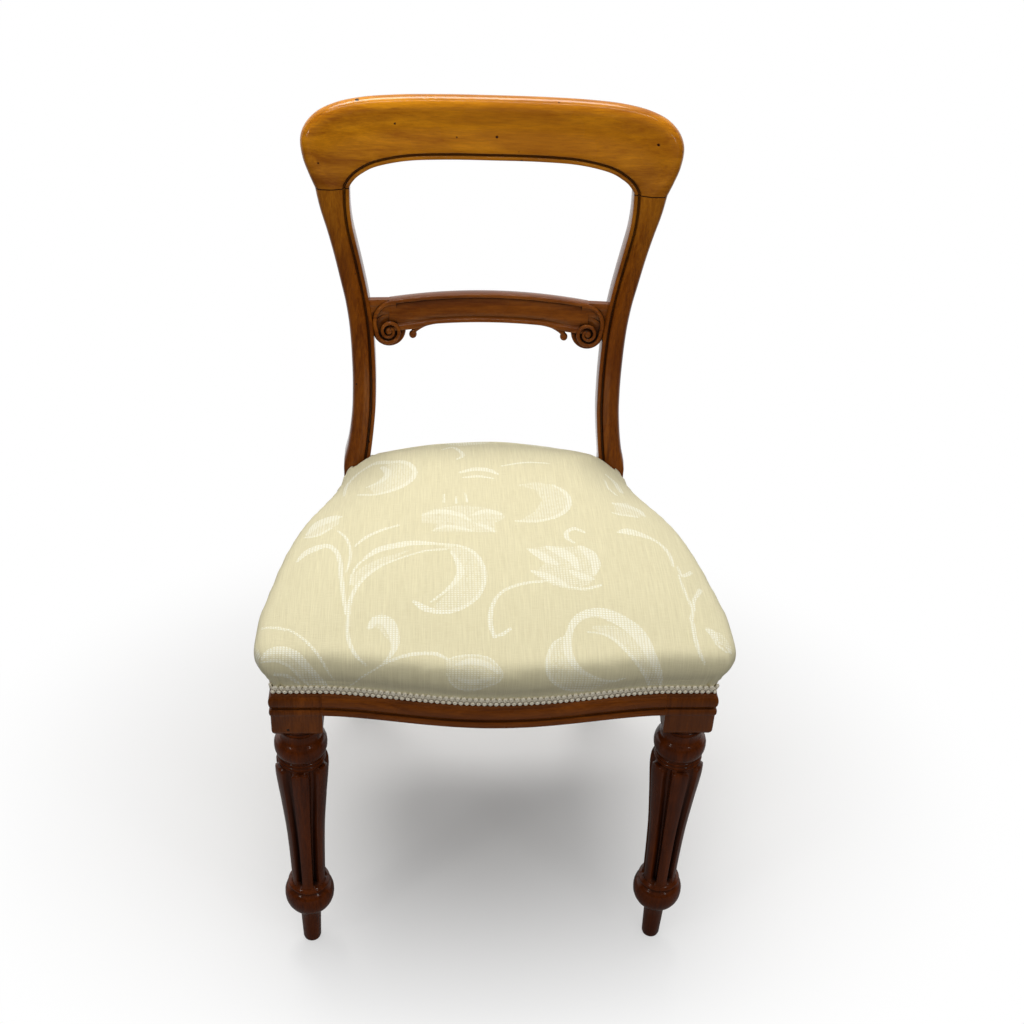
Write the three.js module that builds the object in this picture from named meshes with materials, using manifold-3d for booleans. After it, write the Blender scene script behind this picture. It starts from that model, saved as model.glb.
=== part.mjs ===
// A balloon back dining chair with turned, reeded front legs, swept back legs and a sprung,
// stuffed-over seat. Millimetres, Z up, X across the seat, Y from the front to the back.
// Left and right are those of someone who looks at the front of the chair.

import * as THREE from 'three';
import Module from 'manifold-3d';

const wasm = await Module();
wasm.setup();

// Driving dimensions of the whole chair
const chairHeight = 873;
const legSpacing = 410;
const seatDepth = 357;
const seatCrownHeight = 496;

// The seat frame lies below the crown of the seat, and the back rises from its top
const crownRise = 53;
const railHeight = 55;
const showWoodHeight = 25;
const railTop = seatCrownHeight - crownRise;
const railBottom = railTop - railHeight;
const backHeight = chairHeight - railTop;

// Fits: the gap between pieces that touch, and how far a cut runs past what it cuts
const gap = 0.3;
const overrun = 5;

// Small helpers for solids

// A point in space from its three coordinates
function at(x, y, z) {
  return new THREE.Vector3(x, y, z);
}

// The triangles that close a flat ring of points, as places in that ring, which go round the
// same way as the ring does
function capTriangles(ring) {
  const normal = at(0, 0, 0);
  ring.forEach((point, i) => {
    normal.add(point.clone().cross(ring[(i + 1) % ring.length]));
  });
  const axes = ['x', 'y', 'z'];
  axes.sort((a, b) => Math.abs(normal[a]) - Math.abs(normal[b]));
  const flat = ring.map((point) => new THREE.Vector2(point[axes[0]], point[axes[1]]));
  if (THREE.ShapeUtils.area(flat) > 0) {
    return THREE.ShapeUtils.triangulateShape(flat, []);
  }
  const last = ring.length - 1;
  const triangles = THREE.ShapeUtils.triangulateShape(flat.reverse(), []);
  return triangles.map((triangle) => triangle.map((k) => last - k).reverse());
}

// Six times the volume inside closed triangles, negative where they face inwards
function sixVolumes(points, index) {
  let sum = 0;
  for (let i = 0; i < index.length; i += 3) {
    const cross = points[index[i + 1]].clone().cross(points[index[i + 2]]);
    sum += points[index[i]].dot(cross);
  }
  return sum;
}

// A solid from points and triangles, turned the right way out
function solidFrom(points, index) {
  const outward = [...index];
  if (sixVolumes(points, index) < 0) {
    outward.reverse();
  }
  const vertProperties = new Float32Array(points.flatMap((point) => point.toArray()));
  const triVerts = new Uint32Array(outward);
  return new wasm.Manifold(new wasm.Mesh({ numProp: 3, vertProperties, triVerts }));
}

// A solid skinned through rings that have the same number of points. Each end is closed by
// its pole where one is given, and otherwise flat.
function loft(rings, firstPole, lastPole) {
  const count = rings[0].length;
  const points = rings.flat();
  const index = [];
  for (let i = 0; i + 1 < rings.length; i++) {
    for (let j = 0; j < count; j++) {
      const a = i * count + j;
      const b = i * count + (j + 1) % count;
      index.push(a, b, b + count);
      index.push(a, b + count, a + count);
    }
  }
  const ends = [[0, firstPole, true], [rings.length - 1, lastPole, false]];
  for (const [row, pole, reversed] of ends) {
    const start = row * count;
    const side = [];
    if (pole) {
      points.push(pole);
      for (let j = 0; j < count; j++) {
        side.push([start + j, start + (j + 1) % count, points.length - 1]);
      }
    } else {
      side.push(...capTriangles(rings[row]).map((triangle) => triangle.map((k) => start + k)));
    }
    side.forEach((triangle) => index.push(...(reversed ? triangle.reverse() : triangle)));
  }
  return solidFrom(points, index);
}

// A box between two corners
function box(low, high) {
  const ring = (z) => [at(low[0], low[1], z), at(high[0], low[1], z),
    at(high[0], high[1], z), at(low[0], high[1], z)];
  return loft([ring(low[2]), ring(high[2])]);
}

// A turned solid between two points, from rows of [distance from the start, radius]
function turned(start, end, rows, sideCount) {
  const axis = end.clone().sub(start).normalize();
  const across = Math.abs(axis.z) < Math.SQRT1_2 ? at(0, 0, 1) : at(0, 1, 0);
  const first = across.cross(axis).normalize();
  const second = axis.clone().cross(first);
  const rings = rows.map(([distance, radius]) => {
    const ring = [];
    for (let i = 0; i < sideCount; i++) {
      const angle = 2 * Math.PI * i / sideCount;
      ring.push(start.clone().addScaledVector(axis, distance)
        .addScaledVector(first, radius * Math.cos(angle))
        .addScaledVector(second, radius * Math.sin(angle)));
    }
    return ring;
  });
  return loft(rings);
}

// Reads a smooth curve, which never overshoots its points, through rows of [place, value, ...]
function readCurve(rows, place, column = 1) {
  const last = rows.length - 1;
  const kept = Math.min(Math.max(place, rows[0][0]), rows[last][0]);
  const rise = (i) => (rows[i + 1][column] - rows[i][column]) / (rows[i + 1][0] - rows[i][0]);
  const slope = (i) => {
    if (i === 0 || i === last) {
      return rise(Math.min(i, last - 1));
    }
    const before = rise(i - 1);
    const after = rise(i);
    return before * after > 0 ? 2 * before * after / (before + after) : 0;
  };
  let k = 0;
  while (k < last - 1 && kept > rows[k + 1][0]) {
    k++;
  }
  const span = rows[k + 1][0] - rows[k][0];
  const t = (kept - rows[k][0]) / span;
  const smooth = t * t * (3 - 2 * t);
  const value = rows[k][column] * (1 - smooth) + rows[k + 1][column] * smooth;
  return value + span * t * (1 - t) * ((1 - t) * slope(k) - t * slope(k + 1));
}

// A soft step from 0 to 1 between two places
function softStep(from, to, place) {
  return THREE.MathUtils.smoothstep(place, from, to);
}

// Materials, one for each mesh

const mahogany = { color: 0x6b2a10, roughness: 0.3, metalness: 0 };
const goldenMahogany = { color: 0x9c5a18, roughness: 0.28, metalness: 0 };
const beech = { color: 0xc49a66, roughness: 0.7, metalness: 0 };
const steel = { color: 0x8c8880, roughness: 0.4, metalness: 1 };
const jute = { color: 0x9a7b4f, roughness: 0.95, metalness: 0 };
const damask = { color: 0xd9d2ad, roughness: 0.8, metalness: 0 };
const braid = { color: 0xe3d3ba, roughness: 0.85, metalness: 0 };

const chair = new THREE.Group();

// Adds one piece to the chair as its own mesh
function addPiece(name, solid, finish) {
  const mesh = solid.getMesh();
  const geometry = new THREE.BufferGeometry();
  geometry.setAttribute('position', new THREE.BufferAttribute(mesh.vertProperties, 3));
  geometry.setIndex(new THREE.BufferAttribute(mesh.triVerts, 1));
  geometry.computeVertexNormals();
  const piece = new THREE.Mesh(geometry, new THREE.MeshStandardMaterial(finish));
  piece.name = name;
  chair.add(piece);
}

const sides = [['left', -1], ['right', 1]];

// The form that the whole back follows: it leans back as it rises, and the crest is bowed so
// that its middle lies behind its ends

const earHalfWidth = 217;
const crestHeight = 96;
const jointHeight = chairHeight - crestHeight;
const crestBow = 18;
const crestRake = 76;
const footRake = 58;
const backRakeShares = [[0, 0], [0.12, 0.05], [0.26, 0.12], [0.4, 0.23], [0.58, 0.42],
  [0.78, 0.67], [0.91, 0.87], [1, 1]];
const legRakeShares = [[0, 1], [0.24, 0.66], [0.5, 0.32], [0.76, 0.09], [1, 0]];
const rakeRows = [
  ...legRakeShares.map(([height, back]) => [railBottom * height, footRake * back]),
  ...backRakeShares.map(([height, back]) => {
    return [railTop + backHeight * height, crestRake * back];
  }),
];

// How far back the front face of the back lies at a place in the front view
function backFace(x, z) {
  const bow = crestBow * softStep(railTop, jointHeight, z);
  const across = x / earHalfWidth;
  return seatDepth + readCurve(rakeRows, z) + bow * (1 - across * across);
}

// The moulding of the crest and the posts: a thin bead along the opening, a dark quirk beside
// it, and a broad face that ends in a rounded outer edge
const beadWidth = 5;
const beadDrop = 1.4;
const quirkWidth = 2.4;
const quirkDepth = 4.6;
const faceRound = 3;
const backRound = 3.5;
const beadCornerShare = 0.15;
const softShare = 0.3;

// The section as [distance from the opening, distance behind the face], all the way round
function mouldedSection(width, thickness, relief, edge, dish, backSlope) {
  const drop = beadDrop * relief;
  const floor = quirkDepth * relief;
  const face = beadWidth + quirkWidth;
  const corner = beadWidth * beadCornerShare;
  return [
    [0, thickness - backRound],
    [0, drop + beadWidth / 2],
    [corner, drop + corner],
    [beadWidth / 2, drop],
    [beadWidth - corner, drop + corner * relief],
    [beadWidth, floor],
    [beadWidth + quirkWidth / 2, floor],
    [face, faceRound * softShare * relief],
    [face + faceRound, 0],
    [(face + faceRound + width - edge) / 2, dish],
    [width - edge, 0],
    [width - edge * softShare, edge * softShare],
    [width, edge],
    [width - backSlope, thickness - backRound],
    [width - backSlope - backRound, thickness],
    [backRound, thickness],
  ];
}

// One ring of the moulding between a point on the opening and a point on the outer edge
function backRing(inner, outer, thickness, relief, edge, dish, backSlope) {
  const width = Math.hypot(outer[0] - inner[0], outer[1] - inner[1]);
  const section = mouldedSection(width, thickness, relief, edge, dish, backSlope);
  return section.map(([across, behind]) => {
    const x = THREE.MathUtils.lerp(inner[0], outer[0], across / width);
    const z = THREE.MathUtils.lerp(inner[1], outer[1], across / width);
    return at(x, backFace(x, z) + behind, z);
  });
}

// The same ring on the other half of the chair
function mirrored(ring) {
  return ring.map((point) => at(-point.x, point.y, point.z));
}

// Back posts: each is one piece with its back leg, from the swept foot past the seat and the
// waist up to the joint with the crest

const jointHalfWidth = 201.5;
const jointWidth = 39;
const waistShare = 0.26;
const waistHeight = railTop + backHeight * waistShare;
const waistHalfWidth = 162;
const waistWidth = 28;
const seatPostHalfWidth = 174.5;
const seatPostWidth = 32;
const seatPostDepth = 34;
const footHalfWidth = 172;
const footWidth = 24;
const footDepth = 26;
const postDepth = 27;
const postEdge = 8;
const legEdge = 3;
const postDish = -1.2;
const reliefFade = 6;

// Height, outward swell and widening, as shares of the way from the waist to the joint
const swellShares = [[0.14, 0.02, 0], [0.28, 0.07, 0], [0.41, 0.17, 0], [0.53, 0.32, 0.08],
  [0.66, 0.49, 0.1], [0.78, 0.67, 0.18], [0.91, 0.89, 0.62], [1, 1, 1]];
// The same from the waist down to the seat
const flareShares = [[0, 0, 0], [0.27, 0.05, 0.04], [0.52, 0.24, 0.12], [0.79, 0.6, 0.4],
  [1, 1, 1]];

// Rows of height, outer half width and width of the post
const postRows = [
  [0, footHalfWidth, footWidth],
  [railBottom, seatPostHalfWidth, seatPostWidth],
  ...[...flareShares].reverse().map(([down, out, widening]) => [
    waistHeight - (waistHeight - railTop) * down,
    waistHalfWidth + (seatPostHalfWidth - waistHalfWidth) * out,
    waistWidth + (seatPostWidth - waistWidth) * widening,
  ]),
  ...swellShares.map(([up, out, widening]) => [
    waistHeight + (jointHeight - waistHeight) * up,
    waistHalfWidth + (jointHalfWidth - waistHalfWidth) * out,
    waistWidth + (jointWidth - waistWidth) * widening,
  ]),
];
const postDepthRows = [[0, footDepth], [railBottom, seatPostDepth], [railTop, seatPostDepth],
  [waistHeight, postDepth], [jointHeight, postDepth]];

// The ring of the right post at one height, grown all round where it is used as a cutter
function postRing(height, grown) {
  const outer = readCurve(postRows, height) + grown;
  const width = readCurve(postRows, height, 2) + 2 * grown;
  const relief = softStep(railTop, railTop + reliefFade, height);
  const thickness = readCurve(postDepthRows, height) + 2 * grown;
  const edge = THREE.MathUtils.lerp(legEdge, postEdge, relief);
  const ring = backRing([outer - width, height], [outer, height], thickness,
    grown ? 0 : relief, edge, postDish * relief, 0);
  return ring.map((point) => at(point.x, point.y - grown, point.z));
}

const legSteps = 6;
const upperSteps = 15;

// A whole post, or the space that it needs in what is cut back round it. Steps are closer
// together above the seat, where the outline is rounder.
function backPost(direction, grown) {
  const lerp = THREE.MathUtils.lerp;
  const heights = [];
  for (let i = 0; i <= legSteps; i++) {
    heights.push(railBottom * i / legSteps);
  }
  heights.push(railTop);
  for (let i = 0; i <= upperSteps; i++) {
    heights.push(lerp(railTop + reliefFade, jointHeight - gap, i / upperSteps));
  }
  const rings = heights.map((height) => postRing(height, grown));
  return loft(direction < 0 ? rings.map(mirrored) : rings);
}

// Crest rail: one sawn and carved piece from joint to joint, with a straight top, rounded ears
// and a wide opening below

const earDrop = 44;
const openingDrop = 66.5;
const earHeight = chairHeight - earDrop;
const openingTop = chairHeight - openingDrop;
const crestDepth = 27;
const crestEdge = 11;
const crestDish = 2.2;
const crestBackSlope = 5;
const crestSteps = 2;

// Outer and inner edge of the top from the middle to the ear: outer x as a share of the ear's
// half width, outer rise from ear to top, inner x as a share of the opening's half width, and
// inner rise from the joint to the top of the opening
const crestTopShares = [[0, 1, 0, 1], [0.28, 1, 0.34, 1], [0.51, 0.985, 0.6, 0.95],
  [0.69, 0.93, 0.77, 0.81], [0.82, 0.81, 0.85, 0.69], [0.915, 0.61, 0.905, 0.54],
  [0.975, 0.32, 0.95, 0.38], [1, 0, 0.98, 0.21]];
// From the ear down to the joint: outer x from the joint to the ear, outer rise from the joint
// to the ear, and the inner edge as above
const crestEarShares = [[0.86, 0.63, 0.995, 0.09], [0.45, 0.3, 1, 0.04], [0, 0, 1, 0]];

// The matched outer and inner points of the crest's right half, as three-point rows
function crestStations() {
  const openingHalf = jointHalfWidth - jointWidth;
  const innerPoint = (across, up) => at(openingHalf * across,
    jointHeight + (openingTop - jointHeight) * up, 0);
  const rows = crestTopShares.map(([out, up, inner, innerUp]) => ({
    outer: at(earHalfWidth * out, earHeight + (chairHeight - earHeight) * up, 0),
    inner: innerPoint(inner, innerUp),
  }));
  crestEarShares.forEach(([out, up, inner, innerUp]) => rows.push({
    outer: at(THREE.MathUtils.lerp(jointHalfWidth, earHalfWidth, out),
      THREE.MathUtils.lerp(jointHeight, earHeight, up), 0),
    inner: innerPoint(inner, innerUp),
  }));
  return rows;
}

// The rings of the crest's right half, from the middle to the joint
function crestHalf() {
  const rows = crestStations();
  const outerCurve = new THREE.CatmullRomCurve3(rows.map((row) => row.outer));
  const innerCurve = new THREE.CatmullRomCurve3(rows.map((row) => row.inner));
  const steps = (rows.length - 1) * crestSteps;
  const rings = [];
  for (let i = 0; i <= steps; i++) {
    const outer = outerCurve.getPoint(i / steps);
    const inner = innerCurve.getPoint(i / steps);
    const down = 1 - softStep(jointHeight, earHeight, outer.y);
    rings.push(backRing([inner.x, inner.y], [outer.x, outer.y],
      THREE.MathUtils.lerp(crestDepth, postDepth, down), 1,
      THREE.MathUtils.lerp(crestEdge, postEdge, down),
      THREE.MathUtils.lerp(crestDish, postDish, down), crestBackSlope * (1 - down)));
  }
  return rings;
}

function wholeCrest() {
  const half = crestHalf();
  return loft([...half.slice(1).reverse().map(mirrored), ...half]);
}

// Dowels: two in each joint of crest and post, along the line of the post

const dowelRadius = 4.5;
const dowelLength = 44;
const dowelSpacing = 15;
const dowelSides = 10;
const dowelLeanShare = 0.16;

// The dowels of one side, each with its hole
function crestDowels(direction) {
  const middle = jointHalfWidth - jointWidth / 2;
  const reach = dowelLength / 2;
  const rise = backFace(middle, jointHeight + reach) - backFace(middle, jointHeight - reach);
  const along = at(dowelLeanShare * dowelLength, rise, dowelLength).normalize();
  return [['inner', -1], ['outer', 1]].map(([place, step]) => {
    const x = middle + step * dowelSpacing / 2;
    const centre = at(x, backFace(x, jointHeight) + postDepth / 2, jointHeight);
    const make = (radius, extra) => {
      const half = along.clone().multiplyScalar(reach + extra);
      const start = centre.clone().sub(half);
      const end = centre.clone().add(half);
      start.x *= direction;
      end.x *= direction;
      const length = 2 * (reach + extra);
      return turned(start, end, [[0, radius], [length, radius]], dowelSides);
    };
    return { place, dowel: make(dowelRadius, 0), hole: make(dowelRadius + gap, gap) };
  });
}

// Seat frame: four rails of one height. The front and side rails and the leg blocks carry the
// same moulding below the covering, and step back above it.

const legHalf = legSpacing / 2;
const blockHalf = 26.5;
const plainProud = 3;
const mouldingProud = 4.4;
const rebate = 3;
const railChamfer = 12;
const showTop = railBottom + showWoodHeight;
const blockDrop = 23;
const blockBottom = railBottom - blockDrop;
const railThickness = 24;
const frontBow = 18.8;
const frontBowShare = 0.8;

// The plane of the covering's lower edge on the front and on the outer side of a leg block
const hemFront = -blockHalf + plainProud;
const hemSide = legHalf + blockHalf - plainProud;
const blockInner = legHalf - blockHalf;

// The moulding from the top of the rail down: proud of the hem as a share of its projection,
// and height as a share of the show wood
const mouldingShares = [[0.3, 1], [0.3, 0.88], [0.64, 0.82], [0.95, 0.7], [1, 0.58],
  [0.86, 0.43], [0.4, 0.33], [0.4, 0.27], [0.88, 0.22], [0.95, 0.11], [0.86, 0]];

// The outer side of a rail's section, as [proud of the hem plane, height], from the top edge
// that is rasped off under the stuffing
const railSection = [
  [-rebate - railChamfer, railTop],
  [-rebate, railTop - railChamfer],
  [-rebate, showTop],
  ...mouldingShares.map(([proud, height]) => [
    mouldingProud * proud, railBottom + showWoodHeight * height,
  ]),
];

// The front rail's serpentine: how far the hem plane lies forward of its ends
function frontSweep(x) {
  const across = Math.min(Math.abs(x) / blockInner, 1);
  return frontBow * Math.pow((1 + Math.cos(Math.PI * across)) / 2, frontBowShare);
}

// The hem line along the side of the seat, from the leg block back to the post
const hemRear = seatPostHalfWidth - mouldingProud;

function sideHem(y) {
  const back = Math.max(y - blockHalf, 0) / (seatDepth - blockHalf);
  return THREE.MathUtils.lerp(hemSide, hemRear, back);
}

// Tenons and their mortises
const tenonThickness = 10;
const tenonLength = 20;
const tenonShoulder = 7;
const frontTenonInset = 12;
const sideTenonInset = 9;
const postTenonLength = 15;
const postTenonThickness = 8;
const tenonLow = railBottom + tenonShoulder;
const tenonHigh = railTop - tenonShoulder;

// A tenon between two corners in plan, or the mortise that takes it
function tenon(x0, x1, y0, y1, grown) {
  const low = [Math.min(x0, x1) - grown, Math.min(y0, y1) - grown, tenonLow - grown];
  const high = [Math.max(x0, x1) + grown, Math.max(y0, y1) + grown, tenonHigh + grown];
  return box(low, high);
}

// The tenon of the front rail in a leg block
function frontTenon(direction, grown) {
  const inner = direction * (blockInner - overrun);
  const y = hemFront + frontTenonInset - tenonThickness / 2;
  return tenon(inner, direction * (blockInner + tenonLength), y, y + tenonThickness, grown);
}

// The tenon of a side rail in a leg block
function sideFrontTenon(direction, grown) {
  const outer = direction * (hemSide - sideTenonInset);
  const inner = outer - direction * tenonThickness;
  return tenon(inner, outer, blockHalf - tenonLength, blockHalf + overrun, grown);
}

// The tenon of a side rail in a back post
function sideRearTenon(direction, grown) {
  const outer = direction * (hemRear - legEdge);
  const inner = outer - direction * postTenonThickness;
  return tenon(inner, outer, seatDepth - overrun, seatDepth + postTenonLength, grown);
}

// The tenon of the back rail in a back post
const backRailInset = 5;
const backRailThickness = 22;

function backTenon(direction, grown) {
  const inner = seatPostHalfWidth - seatPostWidth;
  const middle = seatDepth + backRailInset + (backRailThickness - rebate) / 2;
  return tenon(direction * (inner - overrun), direction * (inner + postTenonThickness),
    middle - postTenonThickness / 2, middle + postTenonThickness / 2, grown);
}

// The front rail: moulded face in a serpentine, straight inside
const frontRailSteps = 18;

function frontRail() {
  const half = blockInner - gap;
  const rings = [];
  for (let i = 0; i <= frontRailSteps; i++) {
    const x = THREE.MathUtils.lerp(-half, half, i / frontRailSteps);
    const hem = hemFront - frontSweep(x);
    const inside = hemFront + railThickness;
    const ring = railSection.map(([proud, z]) => at(x, hem - proud, z));
    rings.push([...ring, at(x, inside, railBottom), at(x, inside, railTop)]);
  }
  return loft(rings).add(frontTenon(-1, 0)).add(frontTenon(1, 0));
}

// A side rail, between the leg block and the post
function sideRail(direction) {
  const rings = [blockHalf + gap, seatDepth - gap].map((y) => {
    const hem = sideHem(y);
    const ring = railSection.map(([proud, z]) => at(direction * (hem + proud), y, z));
    const inside = direction * (hem - railThickness);
    return [...ring, at(inside, y, railBottom), at(inside, y, railTop)];
  });
  return loft(rings).add(sideFrontTenon(direction, 0)).add(sideRearTenon(direction, 0));
}

// The back rail, plain below the covering, between the two posts
function backRail() {
  const half = seatPostHalfWidth - seatPostWidth - gap;
  const front = seatDepth + backRailInset;
  const rear = front + backRailThickness;
  const covered = rear - rebate;
  const section = [[front, railBottom], [rear, railBottom], [rear, showTop], [covered, showTop],
    [covered, railTop - railChamfer], [covered - railChamfer, railTop], [front, railTop]];
  const rail = loft([-half, half].map((x) => section.map(([y, z]) => at(x, y, z))));
  return rail.add(backTenon(-1, 0)).add(backTenon(1, 0));
}

// Front legs: a square block with the rails' moulding, then a turned ring, a tapered shaft of
// eight reeds with rounded tops, a collar and a peg foot

const ringRadius = 27.4;
const collarRadius = 27.7;
const pegRadius = 11.6;
const shaftTopRadius = 29.4;
const shaftBottomRadius = 19.5;
const neckRadius = 24.5;
const reedDepth = 3.6;
const reedCount = 8;
const pointsPerReed = 4;
const pegHeight = 50;
const bunHeight = 27;
const coveHeight = 28;
const neckHeight = 33;
const upperHeight = 48;
const collarHeight = pegHeight + bunHeight;
const shaftBottom = collarHeight + coveHeight;
const ringHeight = blockBottom - upperHeight;
const shaftTop = ringHeight - neckHeight;

// Turned lengths as [height share, radius share] between the named heights, from the floor up
const pegShares = [[0, 0.76], [0.05, 0.88], [0.88, 1], [1, 1.12]];
const bunShares = [[0.1, 0.53], [0.2, 0.7], [0.38, 0.87], [0.66, 0.97], [1, 1]];
const coveShares = [[0.32, 0.96], [0.64, 0.86], [0.76, 0.83]];
const shaftShares = [[0, 0], [0.08, 0.02], [0.4, 0.2], [0.72, 0.62], [0.9, 0.92], [0.96, 1]];
const neckShares = [[0.2, 0.93], [0.45, 0.93], [0.66, 0.98], [1, 1]];
const reedTopShare = 0.98;
const upperShares = [[0.17, 1], [0.27, 0.8], [0.4, 0.25], [0.6, 0], [0.85, 0.1], [1, 0.35]];

// Rows of height, radius and depth of the grooves between the reeds
function legRows() {
  const rows = [];
  const lerp = THREE.MathUtils.lerp;
  pegShares.forEach(([up, out]) => rows.push([pegHeight * up, pegRadius * out, 0]));
  bunShares.forEach(([up, out]) => {
    rows.push([lerp(pegHeight, collarHeight, up), collarRadius * out, 0]);
  });
  coveShares.forEach(([up, out]) => {
    rows.push([lerp(collarHeight, shaftBottom, up), collarRadius * out, 0]);
  });
  shaftShares.forEach(([up, out], i) => {
    const radius = lerp(shaftBottomRadius, shaftTopRadius, out);
    rows.push([lerp(shaftBottom, shaftTop, up), radius, i ? reedDepth : 0]);
  });
  rows.push([shaftTop, shaftTopRadius * reedTopShare, reedDepth]);
  neckShares.forEach(([up, out]) => {
    rows.push([lerp(shaftTop, ringHeight, up), ringRadius * out, 0]);
  });
  upperShares.forEach(([up, out]) => {
    rows.push([lerp(ringHeight, blockBottom, up), lerp(neckRadius, ringRadius, out), 0]);
  });
  return rows;
}

// The turned part of a leg, with one reed facing the front
function turnedLeg(x) {
  const count = reedCount * pointsPerReed;
  const rings = legRows().map(([height, radius, groove]) => {
    const ring = [];
    for (let i = 0; i < count; i++) {
      const angle = 2 * Math.PI * i / count - Math.PI / 2;
      const across = Math.abs(2 * (i % pointsPerReed) / pointsPerReed - 1);
      const hollow = groove * Math.pow(1 - across, 2);
      ring.push(at(x + (radius - hollow) * Math.cos(angle),
        (radius - hollow) * Math.sin(angle), height));
    }
    return ring;
  });
  return loft(rings);
}

// The square block: the moulded front and the moulded side, mitred where they meet
const blockShares = [[0, 0.04], [0, 0.8], [0.12, 0.92], [0.45, 1]];

function legBlock(direction) {
  const low = blockShares.map(([inward, down]) => [
    plainProud - (blockHalf - neckRadius + plainProud) * inward,
    THREE.MathUtils.lerp(railBottom, blockBottom, down),
  ]);
  const face = [...railSection, ...low];
  const inner = direction * blockInner;
  const outer = direction * (legHalf + blockHalf + mouldingProud);
  const front = loft([inner, outer].map((x) => {
    const ring = face.map(([proud, z]) => at(x, hemFront - proud, z));
    return [...ring, at(x, blockHalf, blockBottom), at(x, blockHalf, railTop)];
  }));
  const side = loft([-blockHalf - mouldingProud, blockHalf].map((y) => {
    const ring = face.map(([proud, z]) => at(direction * (hemSide + proud), y, z));
    return [...ring, at(inner, y, blockBottom), at(inner, y, railTop)];
  }));
  return front.intersect(side);
}

function frontLeg(direction) {
  const leg = legBlock(direction).add(turnedLeg(direction * legHalf));
  return leg.subtract(frontTenon(direction, gap)).subtract(sideFrontTenon(direction, gap));
}

// Corner blocks: glued and screwed across the inside corners of the seat frame

const cornerBlockLift = 8;
const cornerBlockHeight = 36;
const cornerBlockLow = railBottom + cornerBlockLift;
const cornerReach = 72;
const cornerNear = 50;
const cornerWidth = 30;
const backCornerSide = 55;
const backCornerAcross = 48;
const backCornerClear = 11;

// Where a corner block meets the inside of a side rail
function sideInside(y) {
  return sideHem(y) - railThickness - gap;
}

// The plan of a front corner block: across the corner behind the leg
function frontCornerPlan(direction) {
  const inside = hemFront + railThickness + gap;
  const along = blockInner - cornerNear;
  const back = inside + cornerReach;
  return [[along, inside], [along - cornerWidth, inside],
    [sideInside(back + cornerWidth), back + cornerWidth], [sideInside(back), back],
  ].map(([x, y]) => [direction * x, y]);
}

// The plan of a back corner block: a block in front of the back rail, clear of the post
function backCornerPlan(direction) {
  const rear = seatDepth + backRailInset - gap;
  const inner = seatPostHalfWidth - seatPostWidth;
  const near = seatDepth - backCornerClear;
  const far = seatDepth - backCornerSide;
  return [[sideInside(far), far], [sideInside(near), near], [inner - backCornerClear, rear],
    [inner - backCornerAcross, rear],
  ].map(([x, y]) => [direction * x, y]);
}

function cornerBlock(plan) {
  return loft([cornerBlockLow, cornerBlockLow + cornerBlockHeight].map((z) => {
    return plan.map(([x, y]) => at(x, y, z));
  }));
}

// Wood screws with countersunk heads, two through each corner block

const screwLength = 38;
const screwRadius = 2.2;
const screwHeadRadius = 4.4;
const screwHeadDepth = 3;
const screwTipLength = 6.6;
const screwTipShare = 0.3;
const screwPlaceShare = 0.65;
const screwSides = 8;
const screwSink = 1;

// A screw, or grown all round the hole that takes it, from its head along a direction
function screw(head, along, grown) {
  const end = head.clone().addScaledVector(along, screwLength);
  const tip = screwLength + grown;
  const rows = grown ? [[-screwSink - overrun, screwHeadRadius + grown]] : [];
  rows.push([0, screwHeadRadius + grown], [screwHeadDepth + grown, screwRadius + grown],
    [tip - screwTipLength, screwRadius + grown], [tip, screwRadius * screwTipShare + grown]);
  return turned(head, end, rows, screwSides);
}

// Where a line in plan between two points has a given x (axis 0) or y (axis 1)
function onLine(from, to, axis, value) {
  const share = (value - from[axis]) / (to[axis] - from[axis]);
  return THREE.MathUtils.lerp(from[1 - axis], to[1 - axis], share);
}

// The two screws of a corner block: from its inner face, one into each rail, square to the rail
function blockScrews(plan, direction, atFront) {
  const lerp = THREE.MathUtils.lerp;
  const [a, b, c, d] = plan;
  const [endRail, sideRailFace] = atFront ? [[b, a], [c, d]] : [[d, c], [a, b]];
  const x = lerp(endRail[0][0], endRail[1][0], screwPlaceShare);
  const y = lerp(sideRailFace[0][1], sideRailFace[1][1], screwPlaceShare);
  const low = cornerBlockLow + cornerBlockHeight / 4;
  const high = low + cornerBlockHeight / 2;
  const screws = [
    { head: at(x, onLine(endRail[0], sideRailFace[0], 0, x), low),
      along: at(0, atFront ? -1 : 1, 0) },
    { head: at(onLine(endRail[0], sideRailFace[0], 1, y), y, high),
      along: at(direction, 0, 0) },
  ];
  screws.forEach(({ head, along }) => head.addScaledVector(along, screwSink));
  return screws;
}

// Cross rail: an arched rail with a bead along its top and bottom edge, which ends on each
// side in a carved volute, with a small leaf above it and a pearl below

const crossShare = 0.46;
const crossCentreHeight = railTop + backHeight * crossShare;
const crossSag = 8;
const crossWidth = 33;
const crossDepth = 16.5;
const crossSetback = 4;
const crossBead = 4.5;
const crossField = 3;
const crossSteps = 14;
const voluteX = 118;
const voluteDrop = 27;
const voluteHeight = crossCentreHeight - voluteDrop;
const voluteRadius = 19.5;
const voluteDepth = 16;
const voluteWire = 2.6;
const voluteEyeRadius = 4.6;
const voluteTurns = 1.9;
const voluteStepsPerTurn = 12;
const voluteSides = 20;
const voluteWireSides = 6;
const eyeSides = 8;
const pearlRadius = 4.8;
const pearlClear = 3.7;
const pearlDrop = 8.8;
const leafDepth = 10;
const crossTenonHeight = 26;
const crossTenonLength = 12;
const crossTenonThickness = 8;

// The section of the rail as [depth share, height share], from the bottom of the back round
const crossShares = [[1, 0.06], [0.1, 0], [0, 0.07], [0.07, 0.13], [0.16, 0.18], [0.16, 0.82],
  [0.07, 0.87], [0, 0.93], [0.1, 1], [0.6, 1], [1, 0.9]];
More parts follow.
